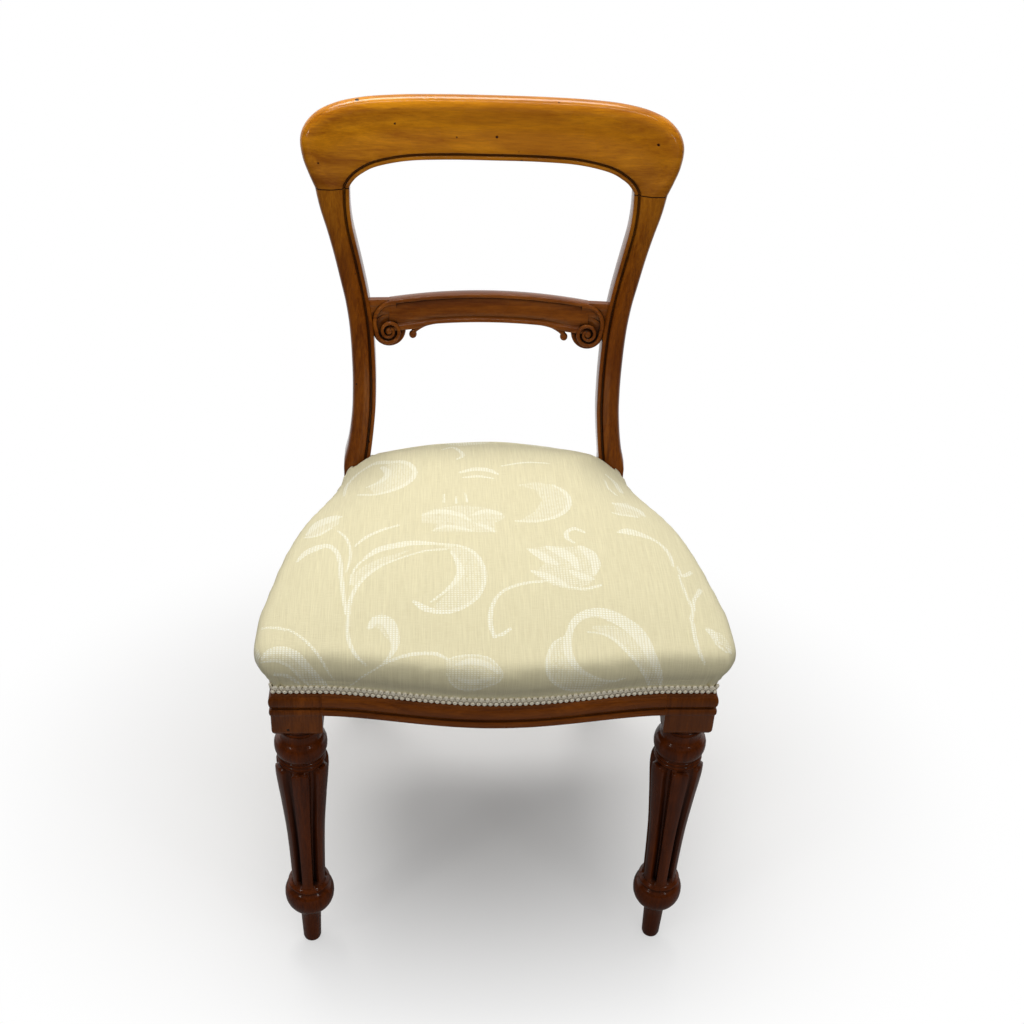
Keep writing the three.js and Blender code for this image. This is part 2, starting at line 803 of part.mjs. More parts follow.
// Where the volute's bead starts, in half turns from the post, and how much of its first turn
// it takes to come down from the rail's top edge
const voluteStartShare = 0.42;
const voluteLeadShare = 0.3;
// The pearl's profile as [length share, radius share]
const pearlShares = [[0, 0.5], [0.13, 0.87], [0.5, 1], [0.87, 0.87], [1, 0.5]];
// The stem that carries it, from the pearl up to the rail's lower bead, as [way along the
// rail, height share]
const stemRadius = 2.6;
const stemReach = 24;
const stemDepth = 4;
const stemShares = [[0, 0.2], [0.1, 0.45], [0.24, 0.7], [0.44, 0.88], [0.7, 0.97], [1, 1]];
// Corners of the leaf beside the volute, as shares of the volute's radius
const leafFootShares = [-0.3, 0.1, 0.6];

// The middle line of the rail's arch
function crossLine(x) {
  const across = x / voluteX;
  return crossCentreHeight - crossSag * across * across;
}

// Bends a solid that is built flat, with its front at zero, to the rake and bow of the back
function bentToBack(solid) {
  return solid.warp((point) => {
    point[1] += backFace(point[0], point[2]) + crossSetback;
  });
}

// The inner side of a post at one height
function postInner(height) {
  return readCurve(postRows, height) - readCurve(postRows, height, 2);
}

// A round tube through points, closed flat at its ends
function tube(points, radius, sideCount) {
  const last = points.length - 1;
  const ahead = (i) => points[Math.min(i + 1, last)].clone()
    .sub(points[Math.max(i - 1, 0)]).normalize();
  return loft(points.map((point, i) => {
    const along = ahead(i);
    const up = Math.abs(along.y) < Math.SQRT1_2 ? at(0, 1, 0) : at(0, 0, 1);
    const first = up.clone().cross(along).normalize();
    const second = along.clone().cross(first);
    const ring = [];
    for (let j = 0; j < sideCount; j++) {
      const angle = Math.PI * (2 * j + 1) / sideCount;
      ring.push(point.clone().addScaledVector(first, radius * Math.cos(angle))
        .addScaledVector(second, radius * Math.sin(angle)));
    }
    return ring;
  }));
}

// The bead that runs off the rail's top edge and winds into the volute's eye
function voluteBead(direction) {
  const points = [];
  const steps = Math.round(voluteTurns * voluteStepsPerTurn);
  const outer = voluteRadius - voluteWire / 2;
  const inner = voluteEyeRadius + voluteWire / 2;
  const railBead = crossLine(voluteX) + crossWidth / 2 - crossBead / 2;
  for (let i = 0; i <= steps; i++) {
    const turn = i / voluteStepsPerTurn;
    const angle = Math.PI * (voluteStartShare + 2 * turn);
    const radius = THREE.MathUtils.lerp(outer, inner, i / steps);
    const lead = (railBead - voluteHeight - radius) * (1 - softStep(0, voluteLeadShare, turn));
    points.push(at(direction * (voluteX - (radius + lead) * Math.cos(angle)), 0,
      voluteHeight + (radius + lead) * Math.sin(angle)));
  }
  return tube(points, voluteWire, voluteWireSides);
}

// The drum of the volute, sunk inside its bead, with its raised eye
function voluteBody(direction) {
  const back = at(direction * voluteX, voluteDepth, voluteHeight);
  const front = at(direction * voluteX, 0, voluteHeight);
  const drum = turned(back, front, [[0, voluteRadius - voluteWire], [voluteWire, voluteRadius],
    [voluteDepth - crossField, voluteRadius]], voluteSides);
  const eye = turned(back, front, [[0, voluteEyeRadius], [voluteDepth, voluteEyeRadius],
    [voluteDepth + voluteWire / 2, voluteEyeRadius / 2]], eyeSides);
  return drum.add(eye);
}

// The pearl beside the volute, hung on a stem into which the rail's lower bead runs down
function pearl(direction) {
  const x = direction * (voluteX - voluteRadius - pearlClear - pearlRadius);
  const edge = crossLine(x) - crossWidth / 2;
  const middle = edge - pearlDrop;
  const low = at(x, pearlRadius, middle - pearlRadius);
  const high = at(x, pearlRadius, middle + pearlRadius);
  const ball = turned(low, high, pearlShares.map(([up, out]) => {
    return [2 * pearlRadius * up, pearlRadius * out];
  }), eyeSides);
  const stem = stemShares.map(([back, up]) => at(x - direction * stemReach * back, stemDepth,
    THREE.MathUtils.lerp(middle, edge + stemRadius, up)));
  return ball.add(tube(stem, stemRadius, voluteWireSides));
}

// The leaf between the volute and the post, as an outline in the front view
function leaf(direction) {
  const top = crossLine(voluteX) + crossWidth / 2;
  const [near, middle, far] = leafFootShares.map((share) => voluteX + voluteRadius * share);
  const postCorner = (z) => [postInner(z), z];
  const outline = [[near, top - crossBead], [middle, top - gap], postCorner(top),
    postCorner(voluteHeight), [far, voluteHeight]];
  return loft([crossField, leafDepth].map((y) => {
    return outline.map(([x, z]) => at(direction * x, y, z));
  }));
}

// The end tenon of the cross rail, straight into the side of a post
function crossTenon(direction, grown) {
  const z = voluteHeight;
  const x = postInner(z);
  const y = backFace(x, z) + crossSetback + voluteDepth / 2;
  const ends = [direction * (x - overrun), direction * (x + crossTenonLength + grown)];
  return box([Math.min(...ends), y - crossTenonThickness / 2 - grown,
    z - crossTenonHeight / 2 - grown], [Math.max(...ends),
    y + crossTenonThickness / 2 + grown, z + crossTenonHeight / 2 + grown]);
}

function crossRail() {
  const rings = [];
  for (let i = 0; i <= crossSteps; i++) {
    const x = THREE.MathUtils.lerp(-voluteX, voluteX, i / crossSteps);
    const low = crossLine(x) - crossWidth / 2;
    rings.push(crossShares.map(([behind, up]) => {
      return at(x, crossDepth * behind, low + crossWidth * up);
    }));
  }
  let rail = loft(rings);
  for (const [, direction] of sides) {
    rail = rail.add(voluteBody(direction)).add(voluteBead(direction));
    rail = rail.add(leaf(direction)).add(pearl(direction));
  }
  rail = bentToBack(rail);
  for (const [, direction] of sides) {
    rail = rail.subtract(backPost(direction, gap)).add(crossTenon(direction, 0));
  }
  return rail;
}

// Webbing: straps woven through each other and tacked under the rails

const strapWidth = 50;
const strapThickness = 2;
const strapSpacing = 92;
const strapLap = 15;
const strapCount = 3;
const strapRampShare = 0.55;
const strapWeave = (strapThickness + gap) / 2;
const strapRest = railBottom - gap - strapThickness / 2;
const strapMiddle = seatDepth / 2;

// The distance of one strap of three from the middle one
function strapOffset(i) {
  return (i - (strapCount - 1) / 2) * strapSpacing;
}

// A strap along a line, up and down over the straps that it crosses
function strap(ends, crossings, first, place) {
  const flat = strapWidth / 2 + strapThickness;
  const stations = [[ends[0], 0]];
  crossings.forEach((middle, i) => {
    const lift = (i % 2 ? -first : first) * strapWeave;
    stations.push([middle - flat, lift], [middle + flat, lift]);
  });
  stations.push([ends[1], 0]);
  const last = stations.length - 1;
  const ramp = (from, to) => THREE.MathUtils.lerp(stations[from][0], stations[to][0],
    strapRampShare);
  const near = [ramp(0, 1), 0];
  const far = [ramp(last, last - 1), 0];
  stations.splice(last, 0, far);
  stations.splice(1, 0, near);
  return loft(stations.map(([along, lift]) => {
    const low = strapRest + lift - strapThickness / 2;
    const high = low + strapThickness;
    return [[-1, low], [1, low], [1, high], [-1, high]].map(([out, z]) => {
      return place(along, out * strapWidth / 2, z);
    });
  }));
}

// Springs: open coils that narrow at the waist, sewn to the webbing below and the hessian above

const springWire = 3;
const springEndRadius = 33;
const springWaistRadius = 22;
const springTurns = 4;
const springSteps = 8;
const springSides = 5;
const springSpread = 68;
const springFlarePower = 1.5;
const springCrowdShare = 0.04;
const springBottom = strapRest + strapWeave + strapThickness / 2 + gap;
const hessianRise = 14;
const hessianThickness = 1.2;
const springPlaces = [['front_left', -1, -1], ['front_right', 1, -1], ['middle', 0, 0],
  ['back_left', -1, 1], ['back_right', 1, 1]];

// How high the hessian's underside lies over a place in the seat
function hessianHeight(x, y) {
  const across = x / hemSide;
  const along = (y - strapMiddle) / strapMiddle;
  const out = Math.min(across * across + along * along, 1);
  return railTop + gap + hessianRise * (1 - out) * (1 - out);
}

function springPoints(x, y) {
  const low = springBottom + springWire / 2;
  const farX = Math.abs(x) + springEndRadius;
  const farY = y + (y < strapMiddle ? -springEndRadius : springEndRadius);
  const high = Math.min(hessianHeight(farX, y), hessianHeight(x, farY)) - gap - springWire / 2;
  const points = [];
  const steps = springTurns * springSteps;
  for (let i = 0; i <= steps; i++) {
    const share = i / steps;
    const angle = 2 * Math.PI * i / springSteps;
    const flare = Math.pow(Math.abs(2 * share - 1), springFlarePower);
    const radius = THREE.MathUtils.lerp(springWaistRadius, springEndRadius, flare);
    const up = share - springCrowdShare * Math.sin(4 * Math.PI * share);
    points.push(at(x + radius * Math.cos(angle), y + radius * Math.sin(angle),
      THREE.MathUtils.lerp(low, high, up)));
  }
  return points;
}

// The least distance between a spring's wire and its own next turn
function leastSpringGap(points) {
  let least = Infinity;
  for (let i = 0; i < points.length; i++) {
    for (let j = i + springSteps / 2; j < points.length; j++) {
      least = Math.min(least, points[i].distanceTo(points[j]) - springWire);
    }
  }
  return least;
}

// The seat's plan: the hem line from the middle of the front round to the middle of the back

const hemCorner = 3;
const hemBackRear = seatDepth + backRailInset + backRailThickness;
const frontHemShares = [0, 0.17, 0.34, 0.5, 0.66, 0.82, 1];
const sideHemShares = [0, 0.17, 0.34, 0.5, 0.66, 0.82, 1];
const backHemShares = [0.85, 0.6, 0.3, 0];
// Two points of the hem hidden in the post: across it, and back to the back rail's face
const postHemShares = [[0.95, 0.5], [0.6, 1]];

// Half of the hem line, as plan points of the right half
function hemHalf() {
  const points = frontHemShares.map((share) => {
    const x = blockInner * share;
    return [x, hemFront - frontSweep(x)];
  });
  points.push([(blockInner + hemSide) / 2, hemFront]);
  for (let i = 0; i <= 2; i++) {
    const angle = Math.PI / 4 * i;
    points.push([hemSide - hemCorner * (1 - Math.sin(angle)),
      hemFront + hemCorner * (1 - Math.cos(angle))]);
  }
  sideHemShares.forEach((share) => {
    const y = THREE.MathUtils.lerp(blockHalf, seatDepth, share);
    points.push([sideHem(y), y]);
  });
  const inner = seatPostHalfWidth - seatPostWidth;
  postHemShares.forEach(([across, back]) => points.push([
    THREE.MathUtils.lerp(inner, hemRear, across),
    THREE.MathUtils.lerp(seatDepth, hemBackRear, back),
  ]));
  backHemShares.forEach((share) => points.push([inner * share, hemBackRear]));
  return points;
}

// The whole hem line with the outward direction at each point
function hemLine() {
  const half = hemHalf();
  const other = half.slice(1, -1).reverse().map(([x, y]) => [-x, y]);
  const line = [...half, ...other];
  return line.map(([x, y], i) => {
    const before = line[(i + line.length - 1) % line.length];
    const after = line[(i + 1) % line.length];
    const out = at(after[1] - before[1], before[0] - after[0], 0).normalize();
    return { x, y, out };
  });
}

// Seat cover: damask pulled over the stuffing and down to the show wood, crowned in the
// middle, with sides that swell over the rails and draw in at the hem and at the posts

const coverThickness = 2.2;
const coverBulge = 14;
const backBulge = 4;
const hemInset = 0.4;
const hemLow = showTop + 2 * gap;
const gimpHeight = 9.5;
const gimpThickness = 1.6;
const gimpLow = showTop + gap;
const hemHigh = gimpLow + gimpHeight;

// Outward swell as a share of the bulge, and height as a share of the rise from the hem's
// upper edge to the crown
const coverSideShares = [[0, 0], [0.22, 0.12], [0.55, 0.26], [0.88, 0.43], [1, 0.6],
  [0.8, 0.75], [0.1, 0.86]];
// Way to the middle and height of the rings on top
const coverTopShares = [[0.1, 0.91], [0.3, 0.96], [0.6, 0.99], [0.82, 0.999]];
// Where along the depth the bulge fades out, and where the crown starts and ends to be drawn
// down towards the posts
const bulgeFadeShares = [0.3, 0.9];
const crownFadeShares = [0.4, 1.02];
// How far the crown is drawn down in the middle of the back, and beyond that at the posts
const backDropShare = 0.345;
const postDropShare = 0.44;
const postDropPower = 2;
// How far in from the edge the crown is drawn down
const crownReachShare = 0.5;

// How much of the crown's height is left over a place on the hem: all of it in front, less at
// the back and least at the posts
function crownShare(x, y) {
  const rear = softStep(crownFadeShares[0] * seatDepth, crownFadeShares[1] * seatDepth, y);
  const corner = Math.min(Math.abs(x) / (seatPostHalfWidth - seatPostWidth / 2), 1);
  return 1 - rear * (backDropShare + postDropShare * Math.pow(corner, postDropPower));
}

// The rings of the seat's skin, from the hem to near the middle
function seatSkin() {
  const line = hemLine();
  const rise = seatCrownHeight - hemHigh;
  const middle = at(0, strapMiddle, 0);
  const hem = line.map(({ x, y, out }) => {
    return at(x - out.x * hemInset, y - out.y * hemInset, hemLow);
  });
  const rings = coverSideShares.map(([swell, up]) => line.map(({ x, y, out }) => {
    const [from, to] = bulgeFadeShares;
    const side = coverBulge * (1 - softStep(from * seatDepth, to * seatDepth, y));
    const back = backBulge * softStep(seatDepth, hemBackRear, y);
    const reach = (side + back) * swell - hemInset;
    return at(x + out.x * reach, y + out.y * reach, hemHigh + rise * up * crownShare(x, y));
  }));
  coverTopShares.forEach(([inward, up]) => rings.push(line.map(({ x, y }) => {
    const short = Math.max(1 - inward / crownReachShare, 0);
    const lowered = THREE.MathUtils.lerp(crownShare(x, y), 1, 1 - short * short);
    return at(THREE.MathUtils.lerp(x, middle.x, inward),
      THREE.MathUtils.lerp(y, middle.y, inward), hemHigh + rise * up * lowered);
  })));
  return [hem, ...rings];
}

// The same rings moved inwards, square to the skin, by a thickness
function insetSkin(rings, thickness) {
  const count = rings[0].length;
  return rings.map((ring, i) => ring.map((point, j) => {
    const upper = rings[Math.min(i + 1, rings.length - 1)][j];
    const lower = rings[Math.max(i - 1, 0)][j];
    const along = ring[(j + 1) % count].clone().sub(ring[(j + count - 1) % count]);
    const inward = upper.clone().sub(lower).cross(along).normalize();
    return point.clone().addScaledVector(inward, thickness);
  }));
}

const seatTop = at(0, strapMiddle, seatCrownHeight);

function seatCover() {
  const skin = seatSkin();
  const inner = insetSkin(skin, coverThickness);
  inner[0].forEach((point) => {
    point.z = hemLow;
  });
  return loft([...inner.reverse(), ...skin],
    at(seatTop.x, seatTop.y, seatCrownHeight - coverThickness), seatTop);
}

// Hessian: a thin sheet sewn to the springs and tacked to the tops of the rails
const hessianMargin = 4;
const hessianInset = rebate + railChamfer + hessianMargin;
const hessianRingShares = [0, 0.35, 0.7];
const insetKeptShare = 0.9;

// The hem line moved inwards, without the points that would cross over at its corners
function insetHem(inset) {
  const line = hemLine().map(({ x, y, out }) => ({ point: at(x, y, 0), out }));
  const edges = line.map(({ point }, i) => {
    return new THREE.Line3(point, line[(i + 1) % line.length].point);
  });
  const moved = line.map(({ point, out }) => point.clone().addScaledVector(out, -inset));
  return moved.filter((point) => edges.every((edge) => {
    const nearest = edge.closestPointToPoint(point, true, at(0, 0, 0));
    return nearest.distanceTo(point) > inset * insetKeptShare;
  }));
}

// The hessian as a solid between two heights above its underside
function hessianBetween(low, high, inset) {
  const middlePoint = at(0, strapMiddle, 0);
  const line = insetHem(inset);
  const ring = (inward, rise) => line.map((point) => {
    const place = point.clone().lerp(middlePoint, inward);
    place.z = hessianHeight(place.x, place.y) + rise;
    return place;
  });
  const middle = hessianHeight(0, strapMiddle);
  const under = [...hessianRingShares].reverse().map((inward) => ring(inward, low));
  const over = hessianRingShares.map((inward) => ring(inward, high));
  return loft([...under, ...over], at(0, strapMiddle, middle + low),
    at(0, strapMiddle, middle + high));
}

// Stuffing: the pad of hair between the hessian and the cover, over the tops of the rails
const stuffingClear = 0.8;

function stuffing() {
  const skin = insetSkin(seatSkin(), coverThickness + stuffingClear).slice(2);
  const top = seatTop.clone();
  top.z -= coverThickness + stuffingClear;
  const whole = loft(skin.reverse(), top);
  const below = seatDepth * 2;
  const underRails = box([-below, -below, 0], [below, below, railTop + gap]);
  const sunk = hessianBetween(-hessianRise, hessianThickness + gap, hessianInset - gap);
  return whole.subtract(underRails).subtract(sunk);
}

// Gimp: the braid that covers the hem, along the sides and the front, and across the back

// A strip of braid that stands on the show wood along a stretch of the hem line
function gimpStrip(points) {
  return loft(points.map(({ x, y, out }) => {
    const near = hemInset / 4;
    const far = near + gimpThickness;
    return [[near, gimpLow], [far, gimpLow], [far, gimpLow + gimpHeight],
      [near, gimpLow + gimpHeight]].map(([reach, z]) => {
      return at(x + out.x * reach, y + out.y * reach, z);
    });
  }));
}

function frontGimp() {
  const line = hemLine();
  const half = hemHalf();
  const count = half.length - backHemShares.length - 3;
  const right = line.slice(0, count);
  const left = line.slice(line.length - count + 1);
  const ends = [-1, 1].map((direction) => ({
    x: direction * sideHem(seatDepth), y: seatDepth - gap, out: at(direction, 0, 0),
  }));
  return gimpStrip([ends[0], ...left, ...right, ends[1]]);
}

function backGimp() {
  const half = seatPostHalfWidth - seatPostWidth - gap;
  const out = at(0, 1, 0);
  return gimpStrip([{ x: -half, y: hemBackRear, out }, { x: half, y: hemBackRear, out }]);
}

// Assembly: the back

let crest = wholeCrest();
for (const [side, direction] of sides) {
  let post = backPost(direction, 0);
  for (const { place, dowel, hole } of crestDowels(direction)) {
    addPiece(`crest_dowel_${side}_${place}`, dowel, beech);
    crest = crest.subtract(hole);
    post = post.subtract(hole);
  }
  post = post.subtract(crossTenon(direction, gap)).subtract(sideRearTenon(direction, gap));
  post = post.subtract(backTenon(direction, gap));
  addPiece(`back_post_${side}`, post, mahogany);
}
addPiece('crest_rail', crest, goldenMahogany);
addPiece('cross_rail', crossRail(), mahogany);

// Assembly: the seat frame, with the holes of the corner blocks' screws

let front = frontRail();
let back = backRail();
for (const [side, direction] of sides) {
  let rail = sideRail(direction);
  for (const [end, plan] of [['front', frontCornerPlan(direction)],
    ['back', backCornerPlan(direction)]]) {
    let block = cornerBlock(plan);
    const screws = blockScrews(plan, direction, end === 'front');
    screws.forEach(({ head, along }, i) => {
      const hole = screw(head, along, gap);
      block = block.subtract(hole);
      if (i === 1) {
        rail = rail.subtract(hole);
      } else if (end === 'front') {
        front = front.subtract(hole);
      } else {
        back = back.subtract(hole);
      }
      const into = i === 1 ? 'side' : end;
      addPiece(`block_screw_${end}_${side}_${into}`, screw(head, along, 0), steel);
    });
    addPiece(`corner_block_${end}_${side}`, block, beech);
  }
  addPiece(`side_rail_${side}`, rail, mahogany);
  addPiece(`front_leg_${side}`, frontLeg(direction), mahogany);
}
addPiece('front_rail', front, mahogany);
addPiece('back_rail', back, mahogany);

// Assembly: the seat, from the webbing up

for (let i = 0; i < strapCount; i++) {
  const x = strapOffset(i);
  const crossings = [0, 1, 2].map((k) => strapMiddle + strapOffset(k));
  const frontEnd = hemFront + railThickness - strapLap;
  const lengthways = strap([frontEnd, seatDepth + backRailInset + strapLap], crossings,
    i % 2 ? -1 : 1, (along, out, z) => at(x + out, along, z));
  addPiece(`webbing_lengthways_${i + 1}`, lengthways, jute);
  const y = strapMiddle + strapOffset(i);
  const half = sideHem(y + strapWidth / 2) - railThickness + strapLap;
  const crossways = strap([-half, half], [0, 1, 2].map(strapOffset),
    i % 2 ? 1 : -1, (along, out, z) => at(along, y + out, z));
  addPiece(`webbing_crossways_${i + 1}`, crossways, jute);
}

const springGaps = springPlaces.map(([place, across, along]) => {
  const points = springPoints(across * springSpread, strapMiddle + along * springSpread);
  addPiece(`spring_${place}`, tube(points, springWire / 2, springSides), steel);
  return leastSpringGap(points);
});
console.log(`least gap of a spring to itself: ${Math.min(...springGaps).toFixed(2)} mm`);

// The seat's soft pieces are cut back round the two posts
function clearOfPosts(solid) {
  return sides.reduce((left, [, direction]) => left.subtract(backPost(direction, gap)), solid);
}

addPiece('hessian', clearOfPosts(hessianBetween(0, hessianThickness, hessianInset)), jute);
addPiece('seat_stuffing', clearOfPosts(stuffing()), jute);
addPiece('seat_cover', clearOfPosts(seatCover()), damask);
addPiece('gimp_front', frontGimp(), braid);
addPiece('gimp_back', backGimp(), braid);

// The chair stands over the middle of its own footprint
const reach = new THREE.Box3().setFromObject(chair);
chair.position.y = -(reach.min.y + reach.max.y) / 2;

export default chair;
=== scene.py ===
import math

import bmesh
import bpy
import numpy as np
from mathutils import Matrix, Vector, noise
from mathutils.bvhtree import BVHTree


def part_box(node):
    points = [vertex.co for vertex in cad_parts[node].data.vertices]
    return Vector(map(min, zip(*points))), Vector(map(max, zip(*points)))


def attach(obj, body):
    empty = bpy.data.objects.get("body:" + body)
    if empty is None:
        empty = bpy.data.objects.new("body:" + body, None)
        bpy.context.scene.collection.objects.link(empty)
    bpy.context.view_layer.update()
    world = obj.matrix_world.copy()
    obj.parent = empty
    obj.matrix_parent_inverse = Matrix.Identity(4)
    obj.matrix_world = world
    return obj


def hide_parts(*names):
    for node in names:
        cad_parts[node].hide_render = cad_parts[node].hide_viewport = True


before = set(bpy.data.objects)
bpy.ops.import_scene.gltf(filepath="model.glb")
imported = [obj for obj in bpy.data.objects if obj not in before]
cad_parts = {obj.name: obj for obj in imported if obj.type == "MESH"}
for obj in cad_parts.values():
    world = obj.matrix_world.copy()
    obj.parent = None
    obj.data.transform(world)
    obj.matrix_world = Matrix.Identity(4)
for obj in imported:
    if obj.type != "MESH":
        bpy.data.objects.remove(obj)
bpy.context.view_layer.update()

# Camera: it stands in front of the chair, above the crest and a little to the left, and looks
# down at the seat through a normal lens, with a slight roll.
camera_place = Vector((-0.0765563, -1.2805207, 1.3757237))
camera_yaw = 0.0790170
camera_pitch = 0.6094076
camera_roll = 0.0533671
focal_pixels = 1374.42
image_pixels = 1024
sensor_width = 36

forward = Vector((math.sin(camera_yaw) * math.cos(camera_pitch),
                  math.cos(camera_yaw) * math.cos(camera_pitch), -math.sin(camera_pitch)))
level_right = forward.cross(Vector((0, 0, 1))).normalized()
level_up = level_right.cross(forward)
right = level_right * math.cos(camera_roll) + level_up * math.sin(camera_roll)
up = level_up * math.cos(camera_roll) - level_right * math.sin(camera_roll)

lens = bpy.data.cameras.new("camera")
lens.sensor_width = sensor_width
lens.lens = focal_pixels / image_pixels * sensor_width
camera = bpy.data.objects.new("camera", lens)
camera.matrix_world = Matrix((
    (right.x, up.x, -forward.x, camera_place.x),
    (right.y, up.y, -forward.y, camera_place.y),
    (right.z, up.z, -forward.z, camera_place.z),
    (0, 0, 0, 1)))
bpy.context.scene.collection.objects.link(camera)
bpy.context.scene.camera = camera


# Studio: a pale floor that fades to white away from the chair, in a room that reflections
# see white behind the chair and dark in front. Two lamps hang overhead, a broad one in front
# shows in no reflection, and two small ones beside it line the polish.
def add_node(tree, kind, inputs=None, **settings):
    """Adds a node with its settings, and fills or links its inputs."""
    made = tree.nodes.new(kind)
    for name, value in settings.items():
        setattr(made, name, value)
    for name, value in (inputs or {}).items():
        socket = made.inputs[name]
        if isinstance(value, bpy.types.NodeSocket):
            tree.links.new(value, socket)
        else:
            socket.default_value = value
    return made


def add_math(tree, operation, first, second=0.0, clamp=False):
    """Adds a Math node and gives its output."""
    return add_node(tree, "ShaderNodeMath", {0: first, 1: second}, operation=operation,
                    use_clamp=clamp).outputs[0]


def add_range(tree, value, low, high, to_low=0.0, to_high=1.0, smooth=False):
    """Adds a Map Range node, clamped, and gives its output."""
    return add_node(tree, "ShaderNodeMapRange", {
        "Value": value, "From Min": low, "From Max": high, "To Min": to_low,
        "To Max": to_high}, interpolation_type="SMOOTHSTEP" if smooth else "LINEAR").outputs[0]


def add_mix(tree, factor, first, second, blend="MIX"):
    """Mixes two colours and gives the result."""
    return add_node(tree, "ShaderNodeMix", {0: factor, 6: first, 7: second}, data_type="RGBA",
                    blend_type=blend).outputs[2]


def add_noise(tree, place, scale, detail, **inputs):
    """Adds a Noise Texture at a place and gives its value."""
    return add_node(tree, "ShaderNodeTexNoise", {
        "Vector": place, "Scale": scale, "Detail": detail, **inputs}).outputs[0]


def add_surface(tree, inputs):
    """Ends a material with its Principled shader."""
    shader = add_node(tree, "ShaderNodeBsdfPrincipled", inputs)
    add_node(tree, "ShaderNodeOutputMaterial", {"Surface": shader.outputs[0]})


def new_material(name):
    """A material with an empty tree, ready for its shader."""
    material = bpy.data.materials.new(name)
    material.use_nodes = True
    material.node_tree.nodes.clear()
    return material, material.node_tree


room_gloss = 0.06
room = bpy.data.worlds.new("studio")
room.use_nodes = True
room.node_tree.nodes.clear()
bpy.context.scene.world = room
room_tree = room.node_tree
room_way = add_node(room_tree, "ShaderNodeSeparateXYZ", {
    0: add_node(room_tree, "ShaderNodeTexCoord").outputs["Generated"]})
room_height = room_way.outputs["Z"]
room_rays = add_node(room_tree, "ShaderNodeLightPath")
room_strength = add_range(room_tree, room_height, -0.1, 0.85, 0.07, 0.56, smooth=True)
room_strength = add_range(room_tree, room_rays.outputs["Is Glossy Ray"], 0, 1, room_strength,
                          add_range(room_tree, room_way.outputs["Y"], 0.0, 0.5, room_gloss,
                                    1.0, smooth=True))
room_strength = add_range(room_tree, add_math(
    room_tree, "MAXIMUM", room_rays.outputs["Is Camera Ray"],
    room_rays.outputs["Is Transmission Ray"]), 0, 1, room_strength, 1.0)
room_back = add_node(room_tree, "ShaderNodeBackground", {
    "Color": (1.0, 0.995, 0.985, 1), "Strength": room_strength})
add_node(room_tree, "ShaderNodeOutputWorld", {"Surface": room_back.outputs[0]})

lamp_aim = Vector((0, 0.12, 0.45))
for lamp_name, lamp_place, lamp_size, lamp_power, lamp_spread, lamp_colour in [
        ("lamp_overhead", (-0.15, 0.75, 2.5), (1.3, 0.5), 3.1, 55, (1.0, 0.985, 0.96)),
        ("lamp_strip", (0.0, 0.0, 2.3), (1.5, 0.1), 1.8, 120, (1.0, 0.985, 0.96)),
        ("lamp_front", (0.25, -2.3, 1.7), (2.4, 1.0), 10.5, 180, (1.0, 0.99, 0.97)),
        ("lamp_front_left", (-1.5, -1.3, 2.0), (0.22, 0.4), 2.6, 180, (1.0, 0.99, 0.97)),
        ("lamp_front_right", (1.3, -1.5, 2.1), (0.2, 0.36), 2, 180, (1.0, 0.99, 0.98))]:
    lamp_light = bpy.data.lights.new(lamp_name, "AREA")
    lamp_light.shape = "RECTANGLE"
    lamp_light.size, lamp_light.size_y = lamp_size
    lamp_light.energy = lamp_power
    lamp_light.color = lamp_colour
    lamp_light.spread = math.radians(lamp_spread)
    lamp = bpy.data.objects.new(lamp_name, lamp_light)
    lamp.location = lamp_place
    lamp_way = lamp_aim - Vector(lamp_place)
    lamp.rotation_euler = lamp_way.to_track_quat("-Z", "Y").to_euler()
    lamp.visible_glossy = lamp_name != "lamp_front"
    bpy.context.scene.collection.objects.link(lamp)


def new_piece(name, bm, material, sharp=None):
    """Makes a smooth-shaded object of a bmesh, its place in its mesh."""
    mesh = bpy.data.meshes.new(name)
    bm.to_mesh(mesh)
    bm.free()
    mesh.shade_smooth()
    if sharp:
        mesh.set_sharp_from_angle(angle=math.radians(sharp))
    piece = bpy.data.objects.new(name, mesh)
    piece.data.materials.append(material)
    bpy.context.scene.collection.objects.link(piece)
    return piece


bpy.context.scene.view_settings.view_transform = "Standard"
floor_half = 30.0
floor_material, floor_tree = new_material("studio_floor")
floor_place = add_node(floor_tree, "ShaderNodeTexCoord").outputs["Object"]
floor_spread = add_node(floor_tree, "ShaderNodeVectorMath", {
    0: floor_place, 1: (1.0, 1.3, 1.0), 2: (0, -0.1, 0)}, operation="MULTIPLY_ADD")
floor_away = add_node(floor_tree, "ShaderNodeVectorMath", {
    0: floor_spread.outputs["Vector"]}, operation="LENGTH")
floor_far = add_range(floor_tree, floor_away.outputs["Value"], 0.12, 0.74, smooth=True)
floor_path = add_node(floor_tree, "ShaderNodeLightPath")
floor_behind = add_range(floor_tree, add_node(
    floor_tree, "ShaderNodeSeparateXYZ", {0: floor_place}).outputs["Y"], 0.2, 0.9)
floor_grain = add_node(floor_tree, "ShaderNodeTexNoise", {"Scale": 3.0, "Detail": 3.0})
floor_tone = add_range(floor_tree, floor_grain.outputs[0], 0.3, 0.7, 0.84, 0.87)
floor_seen = add_math(floor_tree, "MAXIMUM", add_math(
    floor_tree, "MAXIMUM", floor_path.outputs["Is Camera Ray"],
    floor_path.outputs["Is Transmission Ray"]), add_math(
    floor_tree, "MULTIPLY", floor_path.outputs["Is Glossy Ray"], floor_behind))
floor_tone = add_math(floor_tree, "MULTIPLY", floor_tone, add_range(
    floor_tree, floor_seen, 0, 1, 0.3, 1.0))
